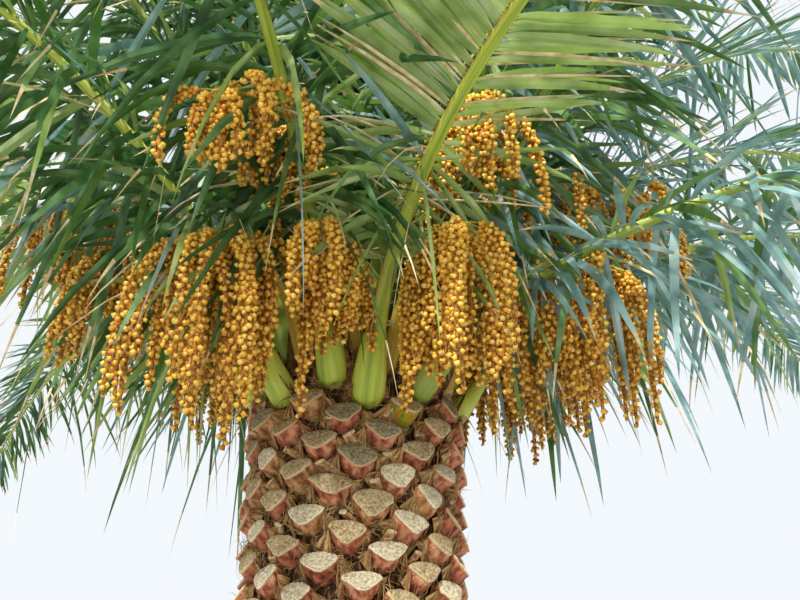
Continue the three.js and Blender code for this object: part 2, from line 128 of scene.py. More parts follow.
def mottle(material, fac, stops):
    """Base colour that runs through the stops, (position, colour) each, as fac goes from 0 to 1."""
    tree = material.node_tree
    ramp = tree.nodes.new("ShaderNodeValToRGB")
    while len(ramp.color_ramp.elements) < len(stops):
        ramp.color_ramp.elements.new(0.5)
    for element, (position, code) in zip(ramp.color_ramp.elements, stops):
        element.position = position
        element.color = (*colour(code), 1)
    tree.links.new(fac, ramp.inputs["Fac"])
    tree.links.new(ramp.outputs["Color"], tree.nodes["Principled BSDF"].inputs["Base Color"])
    return material


def relief(material, fac, depth, strength=1.0):
    """Bumps of that depth in metres where fac rises from 0 to 1."""
    tree = material.node_tree
    bump = tree.nodes.new("ShaderNodeBump")
    bump.inputs["Distance"].default_value = depth
    bump.inputs["Strength"].default_value = strength
    tree.links.new(fac, bump.inputs["Height"])
    tree.links.new(bump.outputs["Normal"], tree.nodes["Principled BSDF"].inputs["Normal"])
    return material


def tube_faces(sections, around, pointed=False):
    """Triangles of one closed tube. Its points run section by section, and round each section counter-
    clockwise as seen from the far end, with one more point for the tip if the tube is pointed."""
    start = (np.arange(sections - 1) * around)[:, None]
    k = np.arange(around)[None]
    a, b = start + k, start + (k + 1) % around
    walls = np.stack([a, b, b + around, a, b + around, a + around], axis=-1).reshape(-1, 3)
    fan = np.arange(1, around - 1)
    near = np.stack([0 * fan, fan + 1, fan], axis=-1)
    last = (sections - 1) * around
    far = last + np.stack([0 * fan, fan, fan + 1], axis=-1)
    if pointed:
        k = np.arange(around)
        far = np.stack([last + k, last + (k + 1) % around, 0 * k + last + around], axis=-1)
    return np.concatenate([walls, near, far])


def piece(name, points, faces, material, slot, nodes, smooth=True, grain=None):
    """A mesh of triangles that rides on the palm and stands for these nodes of the frame."""
    mesh = bpy.data.meshes.new(name)
    mesh.vertices.add(len(points))
    mesh.vertices.foreach_set("co", np.asarray(points, dtype=np.float32).ravel())
    mesh.loops.add(faces.size)
    mesh.loops.foreach_set("vertex_index", faces.astype(np.int32).ravel())
    mesh.polygons.add(len(faces))
    mesh.polygons.foreach_set("loop_start", 3 * np.arange(len(faces), dtype=np.int32))
    mesh.polygons.foreach_set("use_smooth", np.full(len(faces), smooth))
    mesh.update(calc_edges=True)
    mesh.materials.append(material)
    if grain is not None:
        kept = mesh.attributes.new("grain", "FLOAT_VECTOR", "POINT")
        kept.data.foreach_set("vector", grain.astype(np.float32).ravel())
    made = bpy.data.objects.new(name, mesh)
    bpy.context.scene.collection.objects.link(made)
    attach(made, "root")
    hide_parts(*nodes)
    return made


def stem_surface():
    """A surface of revolution on the grooves' floor, from the ground to the pole, roughened by waves of
    many directions whose sizes fall as they get finer."""
    foot = -TRUNK_HEIGHT / LEAF_RISE
    along = np.linspace(foot, 0, STEM_ROWS)
    over = np.linspace(0, SEATS, HEAD_ROWS)[1:]
    radius, height, slope = stem_at(np.concatenate([along, over]))
    turn = np.arange(STEM_COLUMNS) / STEM_COLUMNS * 2 * np.pi
    rough = np.zeros((len(radius), STEM_COLUMNS))
    for waves in RELIEF_WAVES:
        lean, phase = chance.uniform(-WAVE_LEAN, WAVE_LEAN), chance.uniform(0, WAVE_PHASE)
        rough += np.sin(waves * turn[None] + lean * height[:, None] + phase) / np.sqrt(waves)
    rough = rough + chance.uniform(-STEM_GRAININESS, STEM_GRAININESS, rough.shape)
    out = STEM_RELIEF * rough
    level = radius[:, None] + out * np.cos(np.radians(slope))[:, None]
    upright = height[:, None] + out * np.sin(np.radians(slope))[:, None]
    upright[0] = 0
    points = np.stack([level * np.cos(turn), level * np.sin(turn), upright], axis=-1).reshape(-1, 3)
    tip = [[0, 0, TRUNK_TOP]]
    return np.concatenate([points, tip]), tube_faces(len(radius), STEM_COLUMNS, pointed=True)


fibre_mat = finish_of("matted_fibre", "#3d2817", roughness=0.95, specular=0.2)
matting = noise_on(fibre_mat, scale=90, stretch=(1, 1, 0.35), detail=6)
mottle(fibre_mat, matting, [(0.32, "#1c120c"), (0.5, "#453020"), (0.62, "#72543a"), (0.75, "#9c7c58")])
relief(fibre_mat, noise_on(fibre_mat, scale=220, stretch=(1, 1, 0.3), detail=6), depth=0.004)
piece("stem", *stem_surface(), fibre_mat, "bark", ["trunk"])

# The leaf bases: woody shields left where each leaf was sawn off, along the leaf spiral, red-brown beneath,
# with a pale speckled cut face. They are worn and grey near the ground, and the newest cut is still green.
# The living fronds and the fruit stalks grow out of like seats over the head.
DIVERGENCE = -137.508
FRONT_AZIMUTH = -84.0
TIER_STARTS = (10, 29)
STALKS_A_TIER = 7
SEATS_A_STALK = 3
FRONT_STALK_SEAT = 21
TIERS = (np.array(TIER_STARTS)[:, None] + SEATS_A_STALK * np.arange(STALKS_A_TIER)).ravel()
FRUITING = np.append(TIERS, FRONT_STALK_SEAT)
OLD_FROND = {"start": 63, "tip": -44, "length": 3.80, "bend": 0.75}
YOUNG_FROND = {"start": 84, "tip": 46, "length": 3.25, "bend": 1.3}
FRONT_FROND = {"start": 72, "tip": -44, "length": 3.80, "bend": 0.6, "sway": 34, "roll": -14}
RIGHT_FROND_SEAT = 5
RIGHT_FROND = {"start": 50, "tip": -17, "length": 3.80, "bend": 0.43, "sway": 50, "roll": 0}
FROND_SWAYS = {18: -30, 23: 26}
FROND_SCATTER = {"start": 3, "tip": 7, "length": 0.12, "sway": 12, "roll": 28}
EXTRA_LENGTH = 0.45
STALK = {"start": 74, "tip": -40, "length": 0.70, "bend": 1.0}
UPPER_STALK = {"start": 78, "tip": -36, "length": 1.15, "bend": 1.1}
FRONT_STALK = {"start": 70, "tip": -40, "length": 0.62, "bend": 1.0, "sway": -16, "roll": 0}
SIDE_STALK = {"start": 80, "tip": -40, "length": 0.86, "bend": 1.0, "roll": 0}
SIDE_SWAYS = {10: -30, 19: 26}
STALK_SCATTER = {"length": 0.08, "tip": 8, "sway": 8}
LEAF_STEP = 0.7548776662
CHANNEL_STEP = 0.569840291
SAW_TILT = 28.0
TILT_SCATTER = 5
BASE_STAND = 0.050
WORN_STAND = 0.026
HEART_STAND = 0.024
STAND_SCATTER = 0.005
BASE_HALF_WIDTH = 0.062
BASE_RISE = 0.034
BASE_KEEL = 0.042
SAWN_KEEL = 0.052
SAWN_SIZE = 0.94
SIZE_SCATTER = 0.08
SAWN_SHOULDER = 0.006
SEAT_SHOULDER = 0.026
FACE_LIFT = 0.012
YOUNGEST_SIZE = 0.4
OUTLINE = 18
ROUND_POWER = 0.9
KEEL_POWER = 0.75
CHIP_WAVE = 0.08
CHIP_ROUGHNESS = 0.035
ROOT_HALF_WIDTH = 0.050
ROOT_RISE = 0.030
ROOT_DROP = 0.070
ROOT_DEPTH = 0.010
FACE_SPIN = 0.14
FACE_SLANT = 0.22
BODY_SHARES = (0, 0.3, 0.6, 0.85, 1)
BODY_END = -0.007
BODY_SWELL = 0.10
BODY_ROUGHNESS = 0.018
BODY_LENGTH = 0.12
BODY_GRAIN = 0.05
LENS_BACK = (0.97, -0.012)
LENS_RIM = (1.045, -0.0035)
LENS_EDGE = (0.94, 0.001)
LENS_MIDDLE = 0.55
LENS_RINGS = 4
SAW_ROUGHNESS = 0.0016
MOST_ROUGHNESS = 0.003
FACE_DISH = 0.002
LOWEST_FACE = 0.035
FRESH_LEAF = -8
GREY_BELOW = 1.1
GREY_WITHIN = 1.0
GREY_SHARE = 0.75
TERRACOTTA_UP_TO = 0.42
RED_BROWN_UP_TO = 0.78
PALE_WITHIN = 0.5
OLIVE_UP_TO = 0.72
BEIGE_UP_TO = 1.25
TERRACOTTA, RED_BROWN, TAN, GREY, GREEN = range(5)
PALE, OLIVE, BEIGE, WEATHERED = range(4)
RIM_TAN = "#d0a678"
RIM_GAIN = 0.45
GRAIN_STEP = 5.3


def scatter(leaf, channel):
    """Even scatter of -1 to 1: the fractional part of an irrational step for each leaf and channel, where
    each trait of a leaf that is scattered has a channel of its own."""
    return 2 * ((leaf * LEAF_STEP + channel * CHANNEL_STEP) % 1) - 1


def mix(a, b, share):
    """The straight-line blend from a, at share 0, to b, at share 1."""
    return a + (b - a) * share


def azimuth_of(leaf):
    """Each leaf is turned from the last by the golden angle, so that none lies over its neighbours."""
    return FRONT_AZIMUTH + DIVERGENCE * leaf


def facing(azimuth, elevation):
    """Unit vectors that point towards an azimuth, raised by an elevation, both in degrees."""
    a, e = np.broadcast_arrays(np.radians(azimuth), np.radians(elevation))
    return np.stack([np.cos(a) * np.cos(e), np.sin(a) * np.cos(e), np.sin(e)], axis=-1)


def with_set_shapes(leaf, shape, set_shapes):
    """Shapes by leaf, with those of some seats replaced."""
    for seat, set_shape in set_shapes.items():
        shape = {key: np.where(leaf == seat, set_shape[key], shape[key]) for key in shape}
    return shape


def frond_shape(leaf):
    """Elevations at the seat and the tip, length, bend, sideways sway and roll of each frond by its age,
    with one set over the front, one low on the right and two that lean aside."""
    youth = leaf / SEATS
    shape = {key: mix(OLD_FROND[key], YOUNG_FROND[key], youth) for key in OLD_FROND}
    shape["start"] = shape["start"] + FROND_SCATTER["start"] * scatter(leaf, 1)
    shape["tip"] = shape["tip"] + FROND_SCATTER["tip"] * scatter(leaf, 2)
    shape["length"] = shape["length"] + EXTRA_LENGTH * np.sin(np.pi * youth)
    shape["length"] = shape["length"] + FROND_SCATTER["length"] * scatter(leaf, 3)
    shape["sway"] = FROND_SCATTER["sway"] * scatter(leaf, 4)
    shape["roll"] = FROND_SCATTER["roll"] * scatter(leaf, 5)
    for seat, sway in FROND_SWAYS.items():
        shape["sway"] = np.where(leaf == seat, sway, shape["sway"])
    return with_set_shapes(leaf, shape, {0: FRONT_FROND, RIGHT_FROND_SEAT: RIGHT_FROND})


def stalk_shape(leaf):
    """The same for each fruit stalk, by its tier, for the two that lean round to the front from its sides
    and for the one over the front."""
    upper = leaf >= TIER_STARTS[1]
    shape = {key: np.where(upper, UPPER_STALK[key], STALK[key]) for key in STALK}
    shape["length"] = shape["length"] * (1 + STALK_SCATTER["length"] * scatter(leaf, 1))
    shape["tip"] = shape["tip"] + STALK_SCATTER["tip"] * scatter(leaf, 2)
    shape["sway"] = STALK_SCATTER["sway"] * scatter(leaf, 5)
    shape["roll"] = np.zeros(len(leaf))
    set_shapes = {seat: {**SIDE_STALK, "sway": sway} for seat, sway in SIDE_SWAYS.items()}
    return with_set_shapes(leaf, shape, {**set_shapes, FRONT_STALK_SEAT: FRONT_STALK})


def face_of(leaf):
    """Where and how each leaf base's face lies: its centre, its axes and its half sizes."""
    radius, height, slope = stem_at(leaf)
    azimuth = azimuth_of(leaf)
    living = leaf >= 0
    youth = np.maximum(leaf, 0) / SEATS
    sawn_size = SAWN_SIZE * (1 + SIZE_SCATTER * scatter(leaf, 6))
    size = np.where(living, mix(1, YOUNGEST_SIZE, youth), sawn_size)
    worn = mix(WORN_STAND, BASE_STAND, height / TRUNK_HEIGHT) + STAND_SCATTER * scatter(leaf, 7)
    stand = np.where(living, mix(BASE_STAND, HEART_STAND, youth), worn)
    fruiting = np.isin(leaf, FRUITING)
    growing = np.where(fruiting, stalk_shape(leaf)["start"], frond_shape(leaf)["start"])
    tilt = np.where(living, growing, SAW_TILT + TILT_SCATTER * scatter(leaf, 8))
    centre = facing(azimuth, 0) * radius[:, None]
    centre[:, 2] = height
    centre += facing(azimuth, slope) * stand[:, None]
    centre += facing(azimuth, slope + 90) * (FACE_LIFT * size)[:, None]
    return {
        "azimuth": azimuth,
        "slope": slope,
        "radius": radius,
        "height": height,
        "size": size,
        "centre": centre,
        "normal": facing(azimuth, tilt),
        "side": facing(azimuth + 90, 0),
        "up": facing(azimuth, tilt + 90),
        "half_width": BASE_HALF_WIDTH * size,
        "rise": BASE_RISE * size,
        "keel": np.where(living, BASE_KEEL, SAWN_KEEL) * size,
        "shoulder": np.where(living, SEAT_SHOULDER, SAWN_SHOULDER) * size,
    }


def shield_outline(face, turn):
    """Outline of a face, leaf by turn: pointed at both sides, rounded above and keeled below. Beyond the
    cosine across, the height is a flattened sine above and falls to the keel as a blunt V below."""
    across, above = np.cos(turn), np.sin(turn)
    size = {key: face[key][:, None] for key in ("half_width", "rise", "keel", "shoulder")}
    upper = size["shoulder"] + (size["rise"] - size["shoulder"]) * np.abs(above) ** ROUND_POWER
    drop = (size["shoulder"] + size["keel"]) * (1 - np.abs(across)) ** KEEL_POWER
    return size["half_width"] * across, np.where(above >= 0, upper, size["shoulder"] - drop)


def on_face(face, across, above, out):
    """Points on or off a face, leaf by point, from their places across, up and out of it."""
    return (
        face["centre"][:, None]
        + face["side"][:, None] * across[..., None]
        + face["up"][:, None] * above[..., None]
        + face["normal"][:, None] * out[..., None]
    )


def on_stem(face, across, above, out):
    """Points by the stem's surface at each leaf: across round it, up along its slope and out of it."""
    bend = out - across ** 2 / (2 * face["radius"][:, None])
    foot = facing(face["azimuth"], 0) * face["radius"][:, None]
    foot[:, 2] = face["height"]
    return (
        foot[:, None]
        + face["side"][:, None] * across[..., None]
        + facing(face["azimuth"], face["slope"] + 90)[:, None] * above[..., None]
        + facing(face["azimuth"], face["slope"])[:, None] * bend[..., None]
    )


def base_shields(leaf):
    """Body and cut face of each leaf base. The body runs from a broad U on the stem to the face's outline
    and swells on the way. The face is a lens on its end, with a thin rim, roughened by the saw. No two
    cuts are alike: each face is chipped, spun about its normal and slanted off it."""
    turn = 2 * np.pi * np.arange(OUTLINE) / OUTLINE
    face = face_of(leaf)
    across, above = shield_outline(face, turn)
    chipping, chip_turn, dishing, spinning, aslant, upslant = chance.uniform(-1, 1, (6, len(leaf), 1))
    chip = 1 + CHIP_WAVE * chipping * np.cos(2 * turn + 3 * chip_turn)
    chip = chip + CHIP_ROUGHNESS * chance.standard_normal(across.shape)
    spin = FACE_SPIN * spinning
    across, above = (
        chip * (across * np.cos(spin) - above * np.sin(spin)),
        chip * (across * np.sin(spin) + above * np.cos(spin)),
    )

    def cut(scale, out):
        """The face's outline at that scale, that far out of it, slanted by a plane through its centre."""
        slant = FACE_SLANT * scale * (aslant * across + upslant * above)
        return on_face(face, scale * across, scale * above, out + slant)

    size = face["size"][:, None]
    level, upright = np.cos(turn), np.sin(turn)
    root_power = np.where(upright < 0, KEEL_POWER, 1)
    root_across = ROOT_HALF_WIDTH * size * np.sign(level) * np.abs(level) ** root_power
    root_above = np.where(upright < 0, ROOT_DROP, ROOT_RISE) * upright * size
    root = on_stem(face, root_across, root_above, np.full(across.shape, -ROOT_DEPTH))
    end = cut(1, BODY_END)
    rings = []
    for share in BODY_SHARES:
        ring = root * (1 - share) + end * share
        middle = ring.mean(axis=1, keepdims=True)
        roughness = BODY_ROUGHNESS * chance.standard_normal(across.shape)[..., None]
        wear = 1 + BODY_SWELL * np.sin(np.pi * share) + roughness
        rings.append(middle + (ring - middle) * (wear if share else 1))
    bodies = np.concatenate(rings, axis=1)
    rough = SAW_ROUGHNESS * chance.standard_normal(across.shape)
    rough = np.clip(rough, -MOST_ROUGHNESS, MOST_ROUGHNESS)
    dish = FACE_DISH * dishing
    middle_out = (rough + dish)[:, :1]
    lens = [
        cut(*LENS_BACK),
        cut(*LENS_RIM),
        cut(LENS_EDGE[0], LENS_EDGE[1] + 0.5 * rough),
        cut(LENS_MIDDLE, rough + dish),
        on_face(face, 0 * middle_out, 0 * middle_out, middle_out),
    ]
    lenses = np.concatenate(lens, axis=1)
    bodies[..., 2] = np.maximum(bodies[..., 2], 0)
    return bodies, lenses


def join_copies(copies, faces):
    """Points and triangles of many copies of one shape, copies by points by 3."""
    offsets = (np.arange(len(copies)) * copies.shape[1])[:, None, None]
    return copies.reshape(-1, 3), (faces[None] + offsets).reshape(-1, 3)


def grain_of(lengths, around, radius):
    """Grain of rods, rod by section by place round it: a straight rod of one radius along Z. Each starts
    further up than the last, so that no two look alike."""
    turn = 2 * np.pi * np.arange(around) / around
    grain = np.zeros((*lengths.shape, around, 3))
    grain[..., 0] = radius * np.cos(turn)
    grain[..., 1] = radius * np.sin(turn)
    grain[..., 2] = (lengths + GRAIN_STEP * np.arange(len(lengths))[:, None])[..., None]
    return grain.reshape(len(lengths), -1, 3)


def plus_edge(material, fac, gain):
    """That fac, plus gain times how far the grain's X is from 0."""
    tree = material.node_tree
    place = tree.nodes.new("ShaderNodeAttribute")
    place.attribute_name = "grain"
    parts = tree.nodes.new("ShaderNodeSeparateXYZ")
    tree.links.new(place.outputs["Vector"], parts.inputs["Vector"])
    sideways = tree.nodes.new("ShaderNodeMath")
    sideways.operation = "ABSOLUTE"
    tree.links.new(parts.outputs["X"], sideways.inputs[0])
    both = tree.nodes.new("ShaderNodeMath")
    both.operation = "MULTIPLY_ADD"
    both.inputs[1].default_value = gain
    tree.links.new(sideways.outputs["Value"], both.inputs[0])
    tree.links.new(fac, both.inputs[2])
    return both.outputs["Value"]


lowest = int(np.ceil((LOWEST_FACE - TRUNK_HEIGHT) / LEAF_RISE))
sawn = np.arange(lowest, 0)
bodies, lenses = base_shields(sawn)
body_faces = tube_faces(len(BODY_SHARES), OUTLINE)
body_run = np.tile(BODY_LENGTH * np.array(BODY_SHARES), (len(sawn), 1))
body_grain = grain_of(body_run, OUTLINE, BODY_GRAIN)
lens_faces = tube_faces(LENS_RINGS, OUTLINE, pointed=True)
# The back and the rim of a cut face lie far from the grain's middle, which tints them as the rind's edge.
lens_grain = np.zeros(lenses.shape)
lens_grain[:, :2 * OUTLINE, 0] = 1


def rind_finish(name, deep, main, light, roughness=0.55):
    """Red-brown rind, blotched, with faint streaks that run down it and fine cracks."""
    made = finish_of(name, main, roughness, specular=0.25)
    streaks = noise_on(made, scale=60, stretch=(1, 1, 0.3), detail=7, grain=True)
    mottle(made, streaks, [(0.34, deep), (0.48, main), (0.64, light)])
    cracks = noise_on(made, scale=260, stretch=(1, 1, 0.05), detail=4, grain=True)
    return relief(made, cracks, depth=0.003)


def saw_finish(name, deep, main, light):
    """Dry end grain, speckled with the cut ends of fibres, inside the rind's tan edge."""
    made = finish_of(name, main, roughness=0.95, specular=0.2)
    speckles = plus_edge(made, noise_on(made, scale=120, detail=9), RIM_GAIN)
    mottle(made, speckles, [(0.30, deep), (0.49, main), (0.68, light), (0.90, RIM_TAN)])
    return relief(made, noise_on(made, scale=300, detail=4), depth=0.0022)


rind_finishes = [
    rind_finish("terracotta_rind", "#6c3426", "#b26448", "#dca480"),
    rind_finish("red_brown_rind", "#502620", "#9a4e38", "#c88464"),
    rind_finish("tan_rind", "#68422a", "#b27a4c", "#dcae80"),
    rind_finish("grey_rind", "#584a44", "#948074", "#bcac9e", roughness=0.85),
    rind_finish("green_rind", "#6e7a1c", "#94a02a", "#c06a2c", roughness=0.45),
]
saw_finishes = [
    saw_finish("pale_end_grain", "#9c8a6c", "#d6c8a6", "#f4ecd8"),
    saw_finish("olive_end_grain", "#625a42", "#968c6c", "#bab090"),
    saw_finish("beige_end_grain", "#80694a", "#baa47a", "#dccdaa"),
    saw_finish("weathered_end_grain", "#5e574b", "#867e70", "#aca494"),
]
age = -sawn * LEAF_RISE
greyness = np.clip((age - GREY_BELOW) / GREY_WITHIN, 0, 1)
pick = chance.uniform(size=len(sawn))
rind_kind = np.select([pick < TERRACOTTA_UP_TO, pick < RED_BROWN_UP_TO], [TERRACOTTA, RED_BROWN], TAN)
rind_kind = np.where(chance.uniform(size=len(sawn)) < GREY_SHARE * greyness, GREY, rind_kind)
rind_kind = np.where(sawn == FRESH_LEAF, GREEN, rind_kind)
saw_pick = chance.uniform(size=len(sawn)) + np.clip(age / PALE_WITHIN, 0, 1)
saw_kind = np.select([saw_pick < OLIVE_UP_TO, saw_pick < BEIGE_UP_TO], [OLIVE, BEIGE], PALE)
saw_kind = np.where(0.5 + 0.5 * scatter(sawn, 9) < greyness, WEATHERED, saw_kind)
for kind, made in enumerate(rind_finishes):
    points, faces = join_copies(bodies[rind_kind == kind], body_faces)
    grain = body_grain[rind_kind == kind]
    piece(f"leaf_bases_{kind + 1}", points, faces, made, "bark", ["trunk"], grain=grain)
for kind, made in enumerate(saw_finishes):
    points, faces = join_copies(lenses[saw_kind == kind], lens_faces)
    grain = lens_grain[saw_kind == kind]
    piece(f"sawn_faces_{kind + 1}", points, faces, made, "bark", ["trunk"], grain=grain)

# What is left between the leaf bases: thin brown wings of the old leaf sheaths that join both edges of
# each base to the stem, loose fibres that curl out of the seams, and sawn stubs of old fruit stalks.
WING_SECTIONS = 6
WING_FROM = 0.05
WING_CORNER = 0.98
WING_SINK = -0.006
WING_OUTER = {"across": (0.080, 0.115), "above": (-0.035, 0.03), "out": (0.006, 0.022)}
WING_INNER = {"across": (0.044, 0.056), "above": (-0.085, -0.06), "out": (0.002, 0.014)}
WING_RAGGEDNESS = 0.12
WING_HALF_THICKNESS = 0.0016
WING_LENGTH = 0.1
WING_GRAIN = 0.03
STRIP_CORNERS = 4
WINGLESS_LEAVES = 14
WISPS = 2900
WISP_HAIRS = 4
WISPLESS_LEAVES = 12
WISPS_BELOW_LEAF = 24
WISP_TURNS = (-3.7, 0.6)
WISP_RING = 1.12
WISP_DROP = 0.85
WISP_RISE = 0.045
WISP_OUT = (-0.004, 0.03)
WISP_LEAN = 0.9
FIBRE_SECTIONS = 3
FIBRE_SPREAD = 0.008
FIBRE_LEAN = 0.35
FIBRE_REACH = (0.03, 0.13)
FIBRE_LIFT = (0.002, 0.045)
FIBRE_LIFT_POWER = 0.7
FIBRE_CURL = 0.016
FIBRE_BENDS = 2.2
FIBRE_RADIUS = (0.0008, 0.0018)
FIBRE_TAPER = 0.75
LOWEST_FIBRE = 0.001
STUB_SHARE = 0.5
STUB_LENGTH = 0.10
STUB_AROUND = 8
STUB_HALF_WIDTH = (0.011, 0.021)
STUB_HALF_THICKNESS = (0.005, 0.009)
STUB_SIDEWAYS = (-1.0, 0.6)
STUB_UPWARDS = (0, 0.4)
STUB_ACROSS = 0.7
STUB_CLEARANCE = 0.008
STUB_RAISING = (0, 0.012)
STUB_OUT = (0.0, 0.034)
STUB_SKEW = 0.5
STUB_SQUARING = 0.5
STUB_FOOT = (-STUB_LENGTH, 1.1)
STUB_CUT = (0, 1)
SLICE_BACK = (-0.002, 1.05)
SLICE_FRONT = (0.001, 1.02)


def flat_strips(line, out, side, wide, thin):
    """Four-cornered strips along lines, strip by section, that reach as far as given along out and along
    side, both ways. Side, out and the way along the strip are right-handed."""
    corners = [side * thin + out * wide, -side * thin + out * wide]
    corners += [-side * thin - out * wide, side * thin - out * wide]
    return np.stack([line + corner for corner in corners], axis=2).reshape(len(line), -1, 3)


def sheath_wings(leaf, hand):
    """Thin ragged sheets beside a leaf base: they widen in a straight fan from its face's corner to a line
    on the stem, which runs from behind the corner down to the side of the base's root."""
    face = face_of(leaf)
    size = face["size"][:, None]
    share = np.linspace(WING_FROM, 1, WING_SECTIONS)[None]
    count = (len(leaf), 1)
    corner_across = WING_CORNER * hand * face["half_width"][:, None]
    corner = on_face(face, corner_across, face["shoulder"][:, None], WING_SINK + 0 * size)

    def line_end(ranges):
        """An end of the line on the stem, at a random place within the ranges."""
        across = hand * chance.uniform(*ranges["across"], count) * size
        above = chance.uniform(*ranges["above"], count)
        return on_stem(face, across, above, chance.uniform(*ranges["out"], count))

    outer = line_end(WING_OUTER)
    inner = line_end(WING_INNER)
    share = share[..., None]
    ragged = 1 + WING_RAGGEDNESS * chance.standard_normal((len(leaf), WING_SECTIONS, 1)) * (share < 1)
    near = corner * (1 - share) + inner * share
    far = corner * (1 - share * ragged) + outer * share * ragged
    width = np.linalg.norm(far - near, axis=-1, keepdims=True) / 2
    outward = (far - near) / (2 * width)
    ahead = (inner + outer) / 2 - corner
    flat = np.cross(outward, ahead / np.linalg.norm(ahead, axis=-1, keepdims=True))
    flat /= np.linalg.norm(flat, axis=-1, keepdims=True)
    return flat_strips((near + far) / 2, outward, flat, width, WING_HALF_THICKNESS)


def hair_wisps():
    """Thin tapering hairs in wisps: each comes out of the seam round a leaf base, at a turn round its U,
    runs along the seam, bows outwards by a power of its length and curls by a sine."""
    count = WISPS * WISP_HAIRS

    def by_wisp(low, high):
        """An even scatter that all hairs of a wisp share."""
        return np.repeat(chance.uniform(low, high, WISPS), WISP_HAIRS)

    leaf = np.repeat(chance.integers(lowest + WISPLESS_LEAVES, WISPS_BELOW_LEAF, WISPS), WISP_HAIRS)
    face = face_of(leaf)
    size = face["size"]
    turn = by_wisp(*WISP_TURNS)
    across = WISP_RING * ROOT_HALF_WIDTH * size * np.cos(turn)
    across = across + chance.uniform(-FIBRE_SPREAD, FIBRE_SPREAD, count)
    above = np.where(np.sin(turn) < 0, WISP_DROP * ROOT_DROP, WISP_RISE) * size * np.sin(turn)
    above = above + chance.uniform(-FIBRE_SPREAD, FIBRE_SPREAD, count)
    origin = on_stem(face, across[:, None], above[:, None], by_wisp(*WISP_OUT)[:, None])[:, 0]
    out = facing(face["azimuth"], face["slope"])
    side = face["side"]
    lean = turn + np.pi / 2 + by_wisp(-WISP_LEAN, WISP_LEAN)
    lean = lean + chance.uniform(-FIBRE_LEAN, FIBRE_LEAN, count)
    hand = np.sign(by_wisp(-1, 1))
    heading = side * (hand * np.cos(lean))[:, None] + np.cross(out, side) * (hand * np.sin(lean))[:, None]
    reach = chance.uniform(*FIBRE_REACH, count)[:, None, None]
    lift = chance.uniform(*FIBRE_LIFT, count)[:, None, None]
    curl = chance.uniform(-FIBRE_CURL, FIBRE_CURL, (count, 1, 1))
    share = np.linspace(0, 1, FIBRE_SECTIONS + 1)[None, :, None]
    bow = out[:, None] * lift * share ** FIBRE_LIFT_POWER
    line = origin[:, None] + heading[:, None] * reach * share + bow
    flank = np.cross(heading, out)
    line = line + flank[:, None] * curl * np.sin(FIBRE_BENDS * np.pi * share)
    thick = chance.uniform(*FIBRE_RADIUS, count)[:, None, None] * (1 - FIBRE_TAPER * share)
    ring = []
    for corner in 2 * np.pi * np.arange(3) / 3:
        ring.append(line + thick * (out * np.sin(corner) - flank * np.cos(corner))[:, None])
    tube = np.stack(ring, axis=2)[:, :-1].reshape(count, -1, 3)
    points = np.concatenate([tube, line[:, -1:]], axis=1)
    points[..., 2] = np.maximum(points[..., 2], LOWEST_FIBRE)
    return points


def stalk_stubs():
    """Flat planks in the axils above some leaf bases, sawn off beyond them, and the pale slices on their
    ends. Each heads between the face's normal, its side and its top, and is an oval drawn out square."""
    leaf = sawn[chance.uniform(size=len(sawn)) < STUB_SHARE]
    face = face_of(leaf)
    count = (len(leaf), 1)
    wide = chance.uniform(*STUB_HALF_WIDTH, count)
    thin = chance.uniform(*STUB_HALF_THICKNESS, count)
    sideways, upwards = chance.uniform(*STUB_SIDEWAYS, count), chance.uniform(*STUB_UPWARDS, count)
    heading = face["normal"] + face["side"] * sideways + face["up"] * upwards
    heading /= np.linalg.norm(heading, axis=1, keepdims=True)
    flat = np.cross(face["up"], heading)
    flat /= np.linalg.norm(flat, axis=1, keepdims=True)
    lift = np.cross(heading, flat)
    across = STUB_ACROSS * face["half_width"][:, None] * chance.uniform(-1, 1, count)
    above = face["rise"][:, None] + STUB_CLEARANCE + thin + chance.uniform(*STUB_RAISING, count)
    end = on_face(face, across, above, chance.uniform(*STUB_OUT, count))
    lean = chance.uniform(-STUB_SKEW, STUB_SKEW, count)
    turn = 2 * np.pi * (np.arange(STUB_AROUND) + 0.5) / STUB_AROUND
    x = wide * np.sign(np.cos(turn)) * np.abs(np.cos(turn)) ** STUB_SQUARING
    y = thin * np.sign(np.sin(turn)) * np.abs(np.sin(turn)) ** STUB_SQUARING

    def section(ahead, size):
        """The oval, of that size, that far ahead of the cut."""
        oval = flat[:, None] * (x - lean * y)[..., None] + lift[:, None] * (y + lean * x)[..., None]
        return end + heading[:, None] * ahead + size * oval

    plank = np.concatenate([section(*STUB_FOOT), section(*STUB_CUT)], axis=1)
    slice_ = np.concatenate([section(*SLICE_BACK), section(*SLICE_FRONT)], axis=1)
    return plank, slice_


sheath_tan = finish_of("sheath_wing", "#8a6644", roughness=0.9, specular=0.2)
sheath_streaks = noise_on(sheath_tan, scale=130, stretch=(1, 1, 0.08), detail=6, grain=True)
mottle(sheath_tan, sheath_streaks, [(0.34, "#4a301c"), (0.48, "#966e42"), (0.64, "#d6b27c")])
sheath_cracks = noise_on(sheath_tan, scale=300, stretch=(1, 1, 0.04), detail=5, grain=True)
relief(sheath_tan, sheath_cracks, depth=0.003)
plank_tan = finish_of("fruit_stalk_bark", "#a88258", roughness=0.85, specular=0.3)
plank_blotches = noise_on(plank_tan, scale=60, detail=6)
mottle(plank_tan, plank_blotches, [(0.34, "#6c4c2e"), (0.5, "#a88258"), (0.66, "#d4b688")])
hair_pale = finish_of("pale_fibre", "#a98f66", roughness=0.9, specular=0.3)
mottle(hair_pale, noise_on(hair_pale, scale=30), [(0.35, "#7a5830"), (0.5, "#b4945c"), (0.65, "#dcc48e")])
cream_wood = finish_of("cut_fruit_stalk", "#d8c79c", roughness=0.8, specular=0.3)
cream_streaks = noise_on(cream_wood, scale=120, stretch=(1, 1, 0.4))
